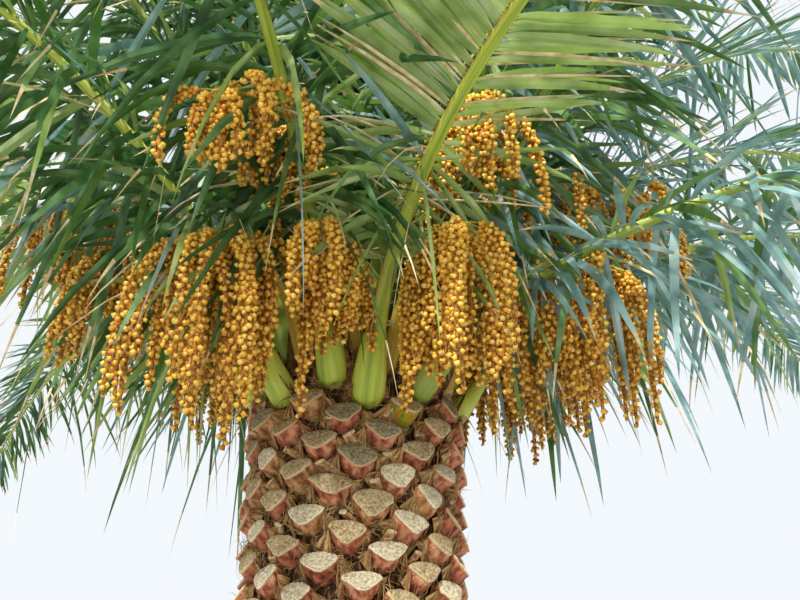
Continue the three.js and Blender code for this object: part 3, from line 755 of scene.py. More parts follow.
mottle(cream_wood, cream_streaks, [(0.3, "#a9844e"), (0.5, "#ddc998"), (0.7, "#f4eace")])
edged = sawn[sawn > lowest + WINGLESS_LEAVES]
wings = np.concatenate([sheath_wings(edged, hand) for hand in (-1.0, 1.0)])
wing_faces = tube_faces(WING_SECTIONS, STRIP_CORNERS)
wing_run = np.tile(np.linspace(0, WING_LENGTH, WING_SECTIONS), (len(wings), 1))
wing_grain = grain_of(wing_run, STRIP_CORNERS, WING_GRAIN)
wing_points, all_wing_faces = join_copies(wings, wing_faces)
piece("sheath_wings", wing_points, all_wing_faces, sheath_tan, "bark", ["trunk"], False, wing_grain)
fibre_faces = tube_faces(FIBRE_SECTIONS, 3, pointed=True)
piece("loose_fibres", *join_copies(hair_wisps(), fibre_faces), hair_pale, "bark", ["trunk"])
planks, slices = stalk_stubs()
stub_faces = tube_faces(2, STUB_AROUND)
piece("cut_stalks", *join_copies(planks, stub_faces), plank_tan, "bark", ["trunk"], False)
piece("cut_stalk_ends", *join_copies(slices, stub_faces), cream_wood, "bark", ["trunk"], False)

# The fronds' ribs: one tapering green rod to each frond, swollen and yellow-green where it clasps the
# stem, flat above and round beneath. The young ones stand nearly upright out of the heart of the crown.
PETIOLE_SHARE = 0.14
PETIOLE_TAPER = 0.160
RIB = {"half_width": 0.025, "depth": 0.034}
RIB_END = {"half_width": 0.004, "depth": 0.006}
LEAST_RIB = {"half_width": 0.003, "depth": 0.004}
RIB_TAPER_POWER = 0.8
CLASPING_WIDTH = 0.9
CLASPING_DEPTH = 1.3
LINE_STEPS = 48
HEART_FRONDS = 12
OUTER_HEART_FROND = {"start": 82, "tip": 52, "length": 3.0, "root": 0.026}
INNER_HEART_FROND = {"start": 88, "tip": 80, "length": 2.1, "root": 0.008}
HEART_ROOTS = (0.3, 0.7)
HEART_TIP_SCATTER = 4
HEART_SWAY = 12
HEART_BEND = 1.4
HEART_PETIOLE_SHARE = 0.24
HEART_RIB = {"half_width": 0.015, "depth": 0.018}
BUD_FOOT = TRUNK_TOP - 0.012
BUD_HEIGHT = 0.42
BULB_END = 0.17
BULB_SECTIONS = 8
BULB_HALF_WIDTH = 0.056
BULB_KEEL = 0.062
BULB_RISE = 0.030
BULB_SINK = 0.012
BULB_LEAVING = 30
BULB_PULL = 0.8
BULB_SWELL = 0.15
BULB_SWELL_POWER = 0.8
RIB_AROUND = 12
RIB_SECTIONS = 34
RIB_CROWDING = 1.15
RIB_TOP_POWER = 0.6
RIB_UNDER_POWER = 0.9
RIB_GRAIN = 0.03
RIB_EDGE_GAIN = 0.3
MATURE_BELOW_LEAF = 18


def curved_lines(origin, azimuth, shape):
    """Lines whose elevation falls from start to tip by a power of the share of the length, while the
    azimuth sways by its square root. The places are the running sum of many short steps."""
    lines = {"azimuth": azimuth, **shape}
    middle = (np.arange(LINE_STEPS) + 0.5) / LINE_STEPS
    which = np.arange(len(azimuth))[:, None]
    steps = line_heading(lines, which, middle[None]) * (shape["length"] / LINE_STEPS)[:, None, None]
    lines["places"] = origin[:, None] + np.pad(np.cumsum(steps, axis=1), ((0, 0), (1, 0), (0, 0)))
    return lines


def line_heading(lines, which, share):
    """Unit vectors along those lines at a share of their length."""
    azimuth = lines["azimuth"][which] + lines["sway"][which] * np.sqrt(share)
    fall = (lines["tip"] - lines["start"])[which] * share ** lines["bend"][which]
    return facing(azimuth, lines["start"][which] + fall)


def on_line(lines, which, share):
    """Place, forward, side and up axes on those lines at a share of their length, rolled about them."""
    at = share * LINE_STEPS
    step = np.minimum(at.astype(int), LINE_STEPS - 1)
    part = (at - step)[..., None]
    places = lines["places"]
    place = places[which, step] * (1 - part) + places[which, step + 1] * part
    along = line_heading(lines, which, share)
    level = facing(lines["azimuth"][which] + lines["sway"][which] * np.sqrt(share) + 90, 0)
    roll = np.radians(lines["roll"][which] * share)[..., None]
    side = level * np.cos(roll) + np.cross(along, level) * np.sin(roll)
    return place, along, side, np.cross(along, side)


seats = np.arange(SEATS)
frond_leaf = seats[~np.isin(seats, FRUITING)]
fronds = frond_shape(frond_leaf)
frond_face = face_of(frond_leaf)
inner = np.arange(HEART_FRONDS)
youth = inner / HEART_FRONDS
heart = {key: mix(OUTER_HEART_FROND[key], INNER_HEART_FROND[key], youth) for key in OUTER_HEART_FROND}
heart_azimuth = azimuth_of(SEATS + inner)
heart_root = facing(heart_azimuth, 0) * heart.pop("root")[:, None]
heart_root[:, 2] = BUD_FOOT + BUD_HEIGHT * mix(*HEART_ROOTS, youth)
heart["tip"] = heart["tip"] + HEART_TIP_SCATTER * scatter(inner, 2)
heart["bend"] = np.full(HEART_FRONDS, HEART_BEND)
heart["sway"] = HEART_SWAY * scatter(inner, 4)
heart["roll"] = np.zeros(HEART_FRONDS)
ribs = curved_lines(
    np.concatenate([frond_face["centre"], heart_root]),
    np.concatenate([frond_face["azimuth"], heart_azimuth]),
    {key: np.concatenate([fronds[key], heart[key]]) for key in fronds},
)
in_heart = np.arange(len(ribs["azimuth"])) >= len(frond_leaf)
petiole_share = np.where(in_heart, HEART_PETIOLE_SHARE, PETIOLE_SHARE)
rib_base = {key: np.where(in_heart, HEART_RIB[key], 0) for key in HEART_RIB}
rib_base["half_width"][~in_heart] = CLASPING_WIDTH * frond_face["half_width"]
rib_base["depth"][~in_heart] = CLASPING_DEPTH * frond_face["keel"]


def rib_size(which, share):
    """Half width and depth of a rib: they fall with the share of its length, from a base whose extra
    breadth decays over the petiole."""
    broad = np.exp(-share * ribs["length"][which] / PETIOLE_TAPER)
    sizes = []
    for key in ("half_width", "depth"):
        slim = mix(RIB[key], RIB_END[key], share ** RIB_TAPER_POWER)
        size = slim + (rib_base[key][which] - RIB[key]) * broad
        sizes.append(np.maximum(size, LEAST_RIB[key]))
    return sizes


def rod_sections(place, side, up, half_width, rise, keel):
    """Sections round places: flattened above, where the height is a sine to a low power, and round
    beneath."""
    turn = 2 * np.pi * np.arange(RIB_AROUND) / RIB_AROUND
    above = np.sin(turn)
    top = rise[..., None] * np.abs(above) ** RIB_TOP_POWER
    under = -keel[..., None] * np.abs(above) ** RIB_UNDER_POWER
    over = np.where(above >= 0, top, under)
    across = half_width[..., None] * np.cos(turn)
    return place[:, :, None] + side[:, :, None] * across[..., None] + up[:, :, None] * over[..., None]


def bulbs(face, lines, which, scale, half_width, depth):
    """Swollen bases: sections along a cubic curve that leaves the stem outwards and joins the line above
    it, while their width and depth run from the bulb's to the line's. A third of a rib's depth lies over
    its line and the rest under it."""
    reach = BULB_END / lines["length"][which]
    end, end_along, end_side, _ = on_line(lines, which, reach)
    zero = np.zeros((len(which), 1))
    root = on_stem(face, zero, zero - BULB_SINK, zero - BULB_SINK)[:, 0]
    root_along = facing(face["azimuth"], face["slope"] + BULB_LEAVING)
    t = np.linspace(0, 1, BULB_SECTIONS, endpoint=False)[None, :, None]
    pull = BULB_PULL * np.linalg.norm(end - root, axis=1)[:, None, None]
    place = (
        (2 * t ** 3 - 3 * t ** 2 + 1) * root[:, None] + (t ** 3 - 2 * t ** 2 + t) * pull * root_along[:, None]
        + (3 * t ** 2 - 2 * t ** 3) * end[:, None] + (t ** 3 - t ** 2) * pull * end_along[:, None]
    )
    along = (
        (6 * t ** 2 - 6 * t) * (root - end)[:, None] + (3 * t ** 2 - 4 * t + 1) * pull * root_along[:, None]
        + (3 * t ** 2 - 2 * t) * pull * end_along[:, None]
    )
    along /= np.linalg.norm(along, axis=-1, keepdims=True)
    side = face["side"][:, None] * (1 - t) + end_side[:, None] * t
    up = np.cross(along, side)
    t = t[..., 0]
    swell = BULB_SWELL * np.sin(np.pi * t) ** BULB_SWELL_POWER
    size = (scale * face["size"])[:, None]
    return rod_sections(
        place, side, up,
        mix(BULB_HALF_WIDTH * size, half_width[:, None], t) * (1 + swell),
        mix(BULB_RISE * size, depth[:, None] / 3, t),
        mix(BULB_KEEL * size, depth[:, None] * 2 / 3, t) * (1 + swell),
    )


def rib_tubes():
    """Every rib from its swollen base, or from the bud, to its tip."""
    which = np.arange(len(in_heart))
    first = np.where(in_heart, 0, BULB_END / ribs["length"])
    share = mix(first[:, None], 1.0, np.linspace(0, 1, RIB_SECTIONS)[None] ** RIB_CROWDING)
    line = np.broadcast_to(which[:, None], share.shape)
    place, _, side, up = on_line(ribs, line, share)
    half_width, depth = rib_size(line, share)
    rods = rod_sections(place, side, up, half_width, depth / 3, depth * 2 / 3)
    outer = which[~in_heart]
    base = bulbs(frond_face, ribs, outer, np.ones(len(outer)), half_width[outer, 0], depth[outer, 0])
    whole = np.concatenate([base, rods[outer]], axis=1)
    run = share * ribs["length"][:, None]
    bulb_run = np.linspace(0, BULB_END, BULB_SECTIONS, endpoint=False)
    outer_run = np.concatenate([np.tile(bulb_run, (len(outer), 1)), run[outer]], axis=1)
    return (
        (whole.reshape(len(outer), -1, 3), grain_of(outer_run, RIB_AROUND, RIB_GRAIN)),
        (rods[in_heart].reshape(np.sum(in_heart), -1, 3), grain_of(run[in_heart], RIB_AROUND, RIB_GRAIN)),
    )


def rib_finish(name, deep, main, light, edge):
    """Smooth waxy rind with long streaks, yellower along both edges: the edge share is the distance of
    the grain from its middle, over its radius."""
    made = finish_of(name, main, roughness=0.4, specular=0.5)
    streaks = noise_on(made, scale=60, stretch=(1, 1, 0.05), detail=5, grain=True)
    across = plus_edge(made, streaks, RIB_EDGE_GAIN / RIB_GRAIN)
    mottle(made, across, [(0.4, deep), (0.58, main), (0.78, light), (0.95, edge)])
    return relief(made, noise_on(made, scale=160, stretch=(1, 1, 0.05), grain=True), depth=0.0012)


frond_names = [f"frond_{number:02d}" for number in range(1, len(frond_leaf) + 1)]
crown_names = [*frond_names, "heart_fronds"]
old_rib = rib_finish("old_rib_green", "#84a22e", "#b2c644", "#ccda5c", "#d2c250")
young_rib = rib_finish("young_rib_green", "#6c8c30", "#92ac42", "#b0c058", "#c2ba58")
(rods, rod_grain), (heart_rods, heart_grain) = rib_tubes()
rod_faces = tube_faces(BULB_SECTIONS + RIB_SECTIONS, RIB_AROUND)
heart_faces = tube_faces(RIB_SECTIONS, RIB_AROUND)
mature = (frond_leaf < MATURE_BELOW_LEAF) & (frond_leaf != RIGHT_FROND_SEAT)
for name, finish, points, faces, grain in (
    ("mature_ribs", old_rib, rods[mature], rod_faces, rod_grain[mature]),
    ("younger_ribs", young_rib, rods[~mature], rod_faces, rod_grain[~mature]),
    ("heart_ribs", young_rib, heart_rods, heart_faces, heart_grain),
):
    piece(name, *join_copies(points, faces), finish, "fronds", crown_names, grain=grain)

# The bud in the middle, a closed spear of the unopened leaves, and the brown sheaths: torn fibrous sheets
# that rise from the stem between the swollen bases.
BUD_FOOT_RADIUS = 0.062
BUD_TIP_RADIUS = 0.031
BUD_SECTIONS = 8
BUD_AROUND = 18
BUD_SINK = 0.05
BUD_POINT = 0.02
BUD_WAVES = 9
BUD_RIBBING = 0.05
BUD_CLOSING = 0.9
BUD_CLOSING_POWER = 6
SHEATHS_A_SIDE = 3
SHEATHED_SEATS = 46
SHEATH_RISE = (0.05, 0.17)
SHEATH_FOOT = 0.035
SHEATH_ACROSS = (0.035, 0.075)
SHEATH_CLOSING = 0.25
SHEATH_OUT = 0.004
SHEATH_BOW = (0.02, 0.08)
SHEATH_BOW_POWER = 0.7
SHEATH_HALF_WIDTH = (0.008, 0.022)
SHEATH_TAPER = 0.85
SHEATH_LEAN = 0.6
SHEATH_HALF_THICKNESS = 0.0012


def bud_spear():
    """A ribbed cone with a rounded end: a cosine of nine waves round it, and a radius that closes by a
    high power of the way up."""
    share = np.linspace(0, 1, BUD_SECTIONS)[:, None]
    turn = (2 * np.pi * np.arange(BUD_AROUND) / BUD_AROUND)[None]
    ribbing = 1 + BUD_RIBBING * np.cos(BUD_WAVES * turn)
    radius = mix(BUD_FOOT_RADIUS, BUD_TIP_RADIUS, share) * ribbing
    radius = radius * np.sqrt(1 - BUD_CLOSING * share ** BUD_CLOSING_POWER)
    height = BUD_FOOT - BUD_SINK + (BUD_HEIGHT + BUD_SINK) * share + 0 * turn
    points = np.stack([radius * np.cos(turn), radius * np.sin(turn), height], axis=-1).reshape(-1, 3)
    return np.concatenate([points, [[0, 0, BUD_FOOT + BUD_HEIGHT + BUD_POINT]]])


def sheath_sheets():
    """Torn sheets beside each swollen base: they rise along the slope, lean outwards by a power of their
    length and narrow to a frayed point."""
    leaf = np.repeat(seats[seats < SHEATHED_SEATS], 2 * SHEATHS_A_SIDE)
    face = face_of(leaf)
    count = (len(leaf), 1)
    hand = np.tile([-1.0, 1.0], len(leaf) // 2)[:, None]
    size = face["size"][:, None]
    share = np.linspace(0, 1, WING_SECTIONS)[None]
    rise = chance.uniform(*SHEATH_RISE, count) * size
    across = hand * chance.uniform(*SHEATH_ACROSS, count) * size * (1 - SHEATH_CLOSING * share)
    out = SHEATH_OUT + chance.uniform(*SHEATH_BOW, count) * share ** SHEATH_BOW_POWER
    line = on_stem(face, across, rise * share - SHEATH_FOOT, out)
    width = (chance.uniform(*SHEATH_HALF_WIDTH, count) * size * (1 - SHEATH_TAPER * share))[..., None]
    lean = chance.uniform(-SHEATH_LEAN, SHEATH_LEAN, count)[..., None]
    out_axis = facing(face["azimuth"], face["slope"])[:, None]
    side = face["side"][:, None]
    return flat_strips(line, side + lean * out_axis, out_axis - lean * side, width, SHEATH_HALF_THICKNESS)


sheath_brown = finish_of("torn_sheath", "#7a5230", roughness=0.9, specular=0.3)
mottle(sheath_brown, noise_on(sheath_brown, scale=60), [(0.3, "#3f2716"), (0.5, "#7a4f2c"), (0.7, "#b58c5a")])
relief(sheath_brown, noise_on(sheath_brown, scale=240, stretch=(1, 1, 0.2)), depth=0.002)
bud_green = finish_of("bud_green", "#8ea03c", roughness=0.6, specular=0.4)
bud_streaks = noise_on(bud_green, scale=60, stretch=(1, 1, 0.1))
mottle(bud_green, bud_streaks, [(0.3, "#6c7c30"), (0.5, "#93a248"), (0.7, "#c0b878")])
piece("bud", bud_spear(), tube_faces(BUD_SECTIONS, BUD_AROUND, True), bud_green, "fronds", ["heart_fronds"])
piece("torn_sheaths", *join_copies(sheath_sheets(), wing_faces), sheath_brown, "bark", ["trunk"], False)

# The leaflets: narrow folded blades of leathery green along both sides of each rib, in loose ranks near
# the crown and flat towards the tip. Many of the lower ones hang over the fruit, many end in straw, and a
# few have withered to a thin strip of straw.
LEAFLETS_A_SIDE = 150
LEAFLETS_BEFORE_PETIOLE = 0.035
LEAFLETS_UP_TO = 0.992
LEAFLET_JITTER = 0.35
IN_BETWEEN = 0.4
CROWDING = 1.12
FROND_LEAFLET = 0.52
HEART_LEAFLET = 0.33
LONGEST_AT = 0.35
FOOT_SHORTENING = 0.35
TIP_SHORTENING = 0.6
TIP_SHORTENING_POWER = 1.6
REACH_SCATTER = 0.07
LEAFLET_WIDTH = 0.029
WIDTH_SCATTER = (0.75, 1.12)
SLIMMEST = 0.6
HEART_NARROWING = 0.8
FRONT_WIDENING = 1.35
HANGING_WIDENING = 0.15
LEAFLET_FOLD = 20.0
LEAFLET_DROOP = 0.10
LEAFLET_TWIST = 22
FRONT_TWIST = 6
ROOT_ACROSS_RIB = 0.8
ROOT_OVER_RIB = 0.1
AWAY = (62, 32)
HEART_AWAY = (26, 14)
AWAY_SCATTER = 12
LOW_AWAY_SCATTER = 20
FRONT_AWAY_SCATTER = 4
RAISED = (20, -4)
HEART_RAISED = (10, 0)
RAISED_SCATTER = 7
RANKS = np.array([-38.0, 0.0, 32.0])
RANK_POWER = 0.6
FRONT_DISORDER = 0.2
HEART_DISORDER = 0.3
LEAST_SAG = 0.05
SAG_SCATTER = 0.2
YOUNG_SAG = 0.5
FRONT_SAG = 0.4
HEART_SAG = 0.03
SAG_SHORTENING = 0.35
DROP_POWER = 1.8
LEAST_TURNED = 0.1
STATIONS = np.array([0, 0.11, 0.36, 0.65, 0.88])
WIDTHS = np.array([0.3, 0.8, 1.0, 0.82, 0.42])
DRY_STATIONS = np.array([0.87, 0.97])
DRY_WIDTHS = np.array([0.40, 0.22])
DRY_END = 1.08
DRY_LIFT = 0.0005
DRY_SHARE = 0.40
WITHERED_SHARE = 0.05
FRONT_WITHERED_SHARE = 0.25
FRONT_WITHERED_BELOW = 0.3
WITHERED_WIDTH = 0.35
FRONT_OPENING = 11.0
HANGING_SHARE = 0.9
YOUNG_HANGING = 0.35
HANGING_REACH = 1.12
HANGING_LOWERED = (15, 65)
HANGING_TURNED = (-30, 50)
HANGING_SAG = (0.05, 0.5)
FRONT_HANGING_BELOW = 0.13
FRONT_HANGING_SHARE = 0.3
FRONT_SPREADING = 20.0
GAP_SHARE = 0.5
GAPS_BELOW = 0.5
RIGHT_GAPS_BELOW = 0.3
RIGHT_GAP_SHARE = 0.25
RIGHT_SHORTENING = 0.5
LIGHT_THROUGH = 0.42
DEEP_GREEN, SHEEN_GREY_GREEN, YELLOW_GREEN = 0, 2, 3
GREEN_SHARES = [0.30, 0.36, 0.22, 0.12]
RIGHT_SIDE = 0.4
RIGHT_SHEEN_SHARE = 0.85
LEFT_SIDE = -0.2
LEFT_SHADE_SHARE = 0.5
ODD_SHARE = 0.35
FRONT_ODD_SHARE = 0.12


def leaflet_length(up):
    """Share of the full length: short at the petiole, longest a third of the way up, short at the tip."""
    low = 1 - FOOT_SHORTENING * (1 - up / LONGEST_AT) ** 2
    beyond = np.maximum(up - LONGEST_AT, 0) / (1 - LONGEST_AT)
    return np.where(up < LONGEST_AT, low, 1 - TIP_SHORTENING * beyond ** TIP_SHORTENING_POWER)


def blade_frames(which, hand, share, away, raised):
    """Root and axes of blades on both sides of the ribs, that lie away from the rib by one angle and are
    raised from its plane by the other, in degrees. The axes are forward, flat and over the blade."""
    place, along, side, above = on_line(ribs, which, share)
    half_width, depth = rib_size(which, share)
    lift, turned = np.radians(raised)[:, None], np.radians(away)[:, None]
    across = side * hand[:, None] * np.cos(lift) + above * np.sin(lift)
    heading = along * np.cos(turned) + across * np.sin(turned)
    heading[:, 2] -= LEAFLET_DROOP
    heading /= np.linalg.norm(heading, axis=1, keepdims=True)
    flat = along - heading * np.sum(along * heading, axis=1, keepdims=True)
    flat /= -hand[:, None] * np.linalg.norm(flat, axis=1, keepdims=True)
    over = np.cross(heading, flat)
    most_twist = np.where(which == 0, FRONT_TWIST, LEAFLET_TWIST)
    twist = np.radians(most_twist * chance.standard_normal(len(which)))[:, None]
    out_to_edge = side * (hand * ROOT_ACROSS_RIB * half_width)[:, None]
    return {
        "root": place + out_to_edge + above * (ROOT_OVER_RIB * depth)[:, None],
        "heading": heading,
        "flat": flat * np.cos(twist) + over * np.sin(twist),
        "over": over * np.cos(twist) - flat * np.sin(twist),
    }


def both_sides(number_a_side, lines):
    """Number, line and hand of every blade."""
    grids = np.meshgrid(np.arange(number_a_side), lines, [-1.0, 1.0], indexing="ij")
    return [grid.ravel() for grid in grids]


def chosen(blades, mask):
    """The blades for which the mask is true."""
    return {key: value[mask] for key, value in blades.items()}


def leaflet_frames():
    """Root, axes, reach, width and sag of every leaflet, as one dict of arrays. The oldest frond, which is
    seen against the light, has twice as many as the rest, with gaps low down on its right. Its lowest
    leaflets spread wide, and nearly a third of them hang. On the other fronds the leaflets that hang are
    full length, and the frond that is low on the right has gaps and short leaflets over the fruit."""
    every = both_sides(LEAFLETS_A_SIDE, np.arange(len(in_heart)))
    between = both_sides(LEAFLETS_A_SIDE, [0])
    number, which, hand = (np.concatenate(two) for two in zip(every, between))
    count = len(number)
    place = number + 0.5 + LEAFLET_JITTER * chance.uniform(-1, 1, count)
    place = place + IN_BETWEEN * (np.arange(count) >= len(every[0]))
    up = (place / (LEAFLETS_A_SIDE + 0.5)) ** CROWDING
    share = mix(petiole_share[which] - LEAFLETS_BEFORE_PETIOLE, LEAFLETS_UP_TO, up)
    young = in_heart[which]
    old = 1 - np.minimum(which / len(frond_leaf), 1)
    front = which == 0
    away = mix(np.where(young, HEART_AWAY[0], AWAY[0]), np.where(young, HEART_AWAY[1], AWAY[1]), up)
    away = away + FRONT_OPENING * front
    low_front = front & (up < FRONT_HANGING_BELOW)
    calm = front & ~low_front
    away_scatter = np.where(calm, FRONT_AWAY_SCATTER, AWAY_SCATTER + LOW_AWAY_SCATTER * (1 - up))
    away = away + away_scatter * chance.uniform(-1, 1, count)
    disorder = np.where(calm, FRONT_DISORDER, 1) * np.where(young, HEART_DISORDER, 1)
    rank = RANKS[number % len(RANKS)] * (1 - up) ** RANK_POWER
    raised = mix(np.where(young, HEART_RAISED[0], RAISED[0]), np.where(young, HEART_RAISED[1], RAISED[1]), up)
    raised = raised + disorder * (rank + RAISED_SCATTER * chance.standard_normal(count))
    hanging_share = HANGING_SHARE * (1 - up) ** 2 * (YOUNG_HANGING + old) * ~young * ~front
    hanging = chance.uniform(size=count) < hanging_share + FRONT_HANGING_SHARE * low_front
    raised = raised - hanging * chance.uniform(*HANGING_LOWERED, count)
    away = away + hanging * chance.uniform(*HANGING_TURNED, count) + FRONT_SPREADING * low_front
    full = np.where(young, HEART_LEAFLET, FROND_LEAFLET)
    full = full * np.where(hanging & ~front, HANGING_REACH, leaflet_length(up))
    over_fruit = (which == RIGHT_FROND_SEAT) & (up < RIGHT_GAPS_BELOW)
    shortened = 1 - RIGHT_SHORTENING + RIGHT_SHORTENING * up / RIGHT_GAPS_BELOW
    full = full * np.where(over_fruit, shortened, 1)
    sag = LEAST_SAG + SAG_SCATTER * chance.uniform(0, 1, count) * (YOUNG_SAG + old)
    sag = np.where(calm, FRONT_SAG, 1) * sag + hanging * chance.uniform(*HANGING_SAG, count)
    slim = SLIMMEST + (1 - SLIMMEST) * leaflet_length(up)
    broad = np.where(young, HEART_NARROWING, np.where(calm, FRONT_WIDENING, 1))
    gappy = over_fruit | front & (hand > 0) & (up < GAPS_BELOW)
    gap = gappy & (chance.uniform(size=count) < np.where(over_fruit, RIGHT_GAP_SHARE, GAP_SHARE))
    made = blade_frames(which, hand, share, away, raised)
    made["reach"] = full * (1 + REACH_SCATTER * chance.standard_normal(count))
    width = LEAFLET_WIDTH * slim * broad * chance.uniform(*WIDTH_SCATTER, count)
    made["width"] = width * (1 + HANGING_WIDENING * hanging)
    made["sag"] = np.where(young, HEART_SAG, sag)
    made["which"] = which
    made["low_on_front"] = front & (up < FRONT_WITHERED_BELOW)
    return chosen(made, ~gap)


def blade_tubes(blades, stations, widths, end=None):
    """Closed folded blades: a three-cornered section with two edges that stand up from the midrib, square
    to its tangent. The midrib is straight along the heading, less a drop that grows by a power of the way,
    and the axes turn with it by the least rotation. Blades that have an end taper to one point there."""
    way = np.append(stations, [] if end is None else end)[None, :, None]
    reach, sag = blades["reach"][:, None, None], blades["sag"][:, None, None]
    shortened = 1 - SAG_SHORTENING * sag * way
    places = blades["root"][:, None] + blades["heading"][:, None] * reach * way * shortened
    places[..., 2] -= (reach * sag * way ** DROP_POWER)[..., 0]
    tips = places[:, len(stations):]
    places, way = places[:, :len(stations)], way[:, :len(stations)]
    heading, flat = blades["heading"][:, None], blades["flat"][:, None]
    tangent = heading * (1 - 2 * SAG_SHORTENING * sag * way)
    tangent[..., 2] -= (DROP_POWER * sag * way ** (DROP_POWER - 1))[..., 0]
    tangent /= np.linalg.norm(tangent, axis=-1, keepdims=True)
    turned = np.maximum(1 + np.sum(heading * tangent, axis=-1, keepdims=True), LEAST_TURNED)
    flat = flat - (heading + tangent) * np.sum(flat * tangent, axis=-1, keepdims=True) / turned
    flat /= np.linalg.norm(flat, axis=-1, keepdims=True)
    half = (blades["width"][:, None] * widths / 2)[..., None]
    fold = np.radians(LEAFLET_FOLD)
    edge_up = np.cross(tangent, flat) * half * np.sin(fold)
    edge_out = flat * half * np.cos(fold)
    ring = np.stack([places + edge_up + edge_out, places + edge_up - edge_out, places], axis=2)
    points = np.concatenate([ring.reshape(len(ring), -1, 3), tips], axis=1)
    return join_copies(points, tube_faces(len(stations), 3, end is not None))


def together(*parts):
    """Several point and triangle lists as one."""
    offsets = np.cumsum([0] + [len(points) for points, _ in parts[:-1]])
    faces = [faces + offset for (_, faces), offset in zip(parts, offsets)]
    return np.concatenate([points for points, _ in parts]), np.concatenate(faces)


def leaf_finish(name, deep, main, light, through):
    """Leathery green that lets some light through, with a soft sheen."""
    made = finish_of(name, main, roughness=0.33, specular=0.6)
    mottle(made, noise_on(made, scale=9, detail=3), [(0.32, deep), (0.5, main), (0.68, light)])
    tree = made.node_tree
    glow = tree.nodes.new("ShaderNodeBsdfTranslucent")
    glow.inputs["Color"].default_value = (*colour(through), 1)
    both = tree.nodes.new("ShaderNodeMixShader")
    both.inputs["Fac"].default_value = LIGHT_THROUGH
    tree.links.new(tree.nodes["Principled BSDF"].outputs["BSDF"], both.inputs[1])
    tree.links.new(glow.outputs["BSDF"], both.inputs[2])
    tree.links.new(both.outputs["Shader"], tree.nodes["Material Output"].inputs["Surface"])
    return made


# The grey-green finish, pale and bluish up to near white, is a painted sheen: the sky's reflection on the
# leaflets. Some fronds and leaflets get it at random.
leaf_finishes = [
    leaf_finish("deep_green_leaflet", "#284630", "#4c7448", "#82aa74", "#9cc670"),
    leaf_finish("mid_green_leaflet", "#3c603a", "#689058", "#9cbe86", "#aece7c"),
    leaf_finish("sheen_grey_green_leaflet", "#5e8488", "#9ac2c4", "#d8e8ee", "#bedad0"),
    leaf_finish("yellow_green_leaflet", "#7c9a4c", "#aec682", "#d4e0b4", "#dcf0a4"),
]
straw = finish_of("dry_straw", "#d8c69a", roughness=0.75, specular=0.3)
mottle(straw, noise_on(straw, scale=25), [(0.3, "#b29c6a"), (0.5, "#d6c498"), (0.7, "#f0e4c2")])

leaflets = leaflet_frames()
every_rib = len(in_heart)
kind_of_frond = chance.choice(len(leaf_finishes), every_rib, p=GREEN_SHARES)
to_right = np.cos(np.radians(ribs["azimuth"] + ribs["sway"]))
# Most fronds that lean to the right get the grey-green finish: painted light, the sky's sheen on that side of
# the crown.
sheened = (to_right > RIGHT_SIDE) & (chance.uniform(size=every_rib) < RIGHT_SHEEN_SHARE)
# About half the fronds that lean to the left get the deep green finish: painted shade on that side of the
# crown.
shade_deepened = (to_right < LEFT_SIDE) & (chance.uniform(size=every_rib) < LEFT_SHADE_SHARE)
kind_of_frond = np.where(sheened, SHEEN_GREY_GREEN, kind_of_frond)
kind_of_frond = np.where(shade_deepened, DEEP_GREEN, kind_of_frond)
# The front frond's leaflets get the bright yellow-green finish: painted light, the glow of the light that
# shines through that frond.
kind_of_frond[0] = YELLOW_GREEN
every_leaflet = len(leaflets["which"])
odd_share = np.where(leaflets["which"] == 0, FRONT_ODD_SHARE, ODD_SHARE)
odd = chance.uniform(size=every_leaflet) < odd_share
any_kind = chance.integers(0, len(leaf_finishes), every_leaflet)
kind = np.where(odd, any_kind, kind_of_frond[leaflets["which"]])
opened = ~in_heart[leaflets["which"]]
withered_share = np.where(leaflets["low_on_front"], FRONT_WITHERED_SHARE, WITHERED_SHARE)
withered = chance.uniform(size=every_leaflet) < withered_share * opened
leaflets["width"] = leaflets["width"] * np.where(withered, WITHERED_WIDTH, 1)
kind = np.where(withered, -1, kind)
dry = (chance.uniform(size=every_leaflet) < DRY_SHARE * opened) & ~withered
for number, made in enumerate(leaf_finishes):
    whole = blade_tubes(chosen(leaflets, (kind == number) & ~dry), STATIONS, WIDTHS, 1)
    blunt = blade_tubes(chosen(leaflets, (kind == number) & dry), STATIONS, WIDTHS)
    piece(f"leaflets_{number + 1}", *together(whole, blunt), made, "fronds", crown_names, False)
dried = chosen(leaflets, dry)
dried["root"] = dried["root"] + DRY_LIFT * dried["over"]
dry_tips = blade_tubes(dried, DRY_STATIONS, DRY_WIDTHS, DRY_END)
piece("dry_tips", *dry_tips, straw, "fronds", crown_names, False)
thin_blades = blade_tubes(chosen(leaflets, withered), STATIONS, WIDTHS, 1)
piece("withered_leaflets", *thin_blades, straw, "fronds", crown_names, False)

# The leaflets' feet: a small swollen yellow-brown joint where each one meets the rib, so that both edges
# of a rib look toothed.
FOOT_LENGTH = 0.016
FOOT_NARROWING = 0.4
FOOT_SINK = 0.004
FOOT_DROP = 0.001
feet = dict(leaflets)
feet["reach"] = np.full(every_leaflet, FOOT_LENGTH)
feet["width"] = FOOT_NARROWING * leaflets["width"]
feet["root"] = leaflets["root"] - FOOT_SINK * leaflets["heading"] - FOOT_DROP * leaflets["over"]
foot_finish = finish_of("leaflet_joint", "#b08a3a", roughness=0.6, specular=0.4)
mottle(foot_finish, noise_on(foot_finish, scale=40), [(0.35, "#7c6a2c"), (0.5, "#a08a3c"), (0.65, "#c0b050")])
foot_tubes = blade_tubes(feet, np.array([0]), np.array([1]), 1)
piece("leaflet_joints", *foot_tubes, foot_finish, "fronds", crown_names, False)

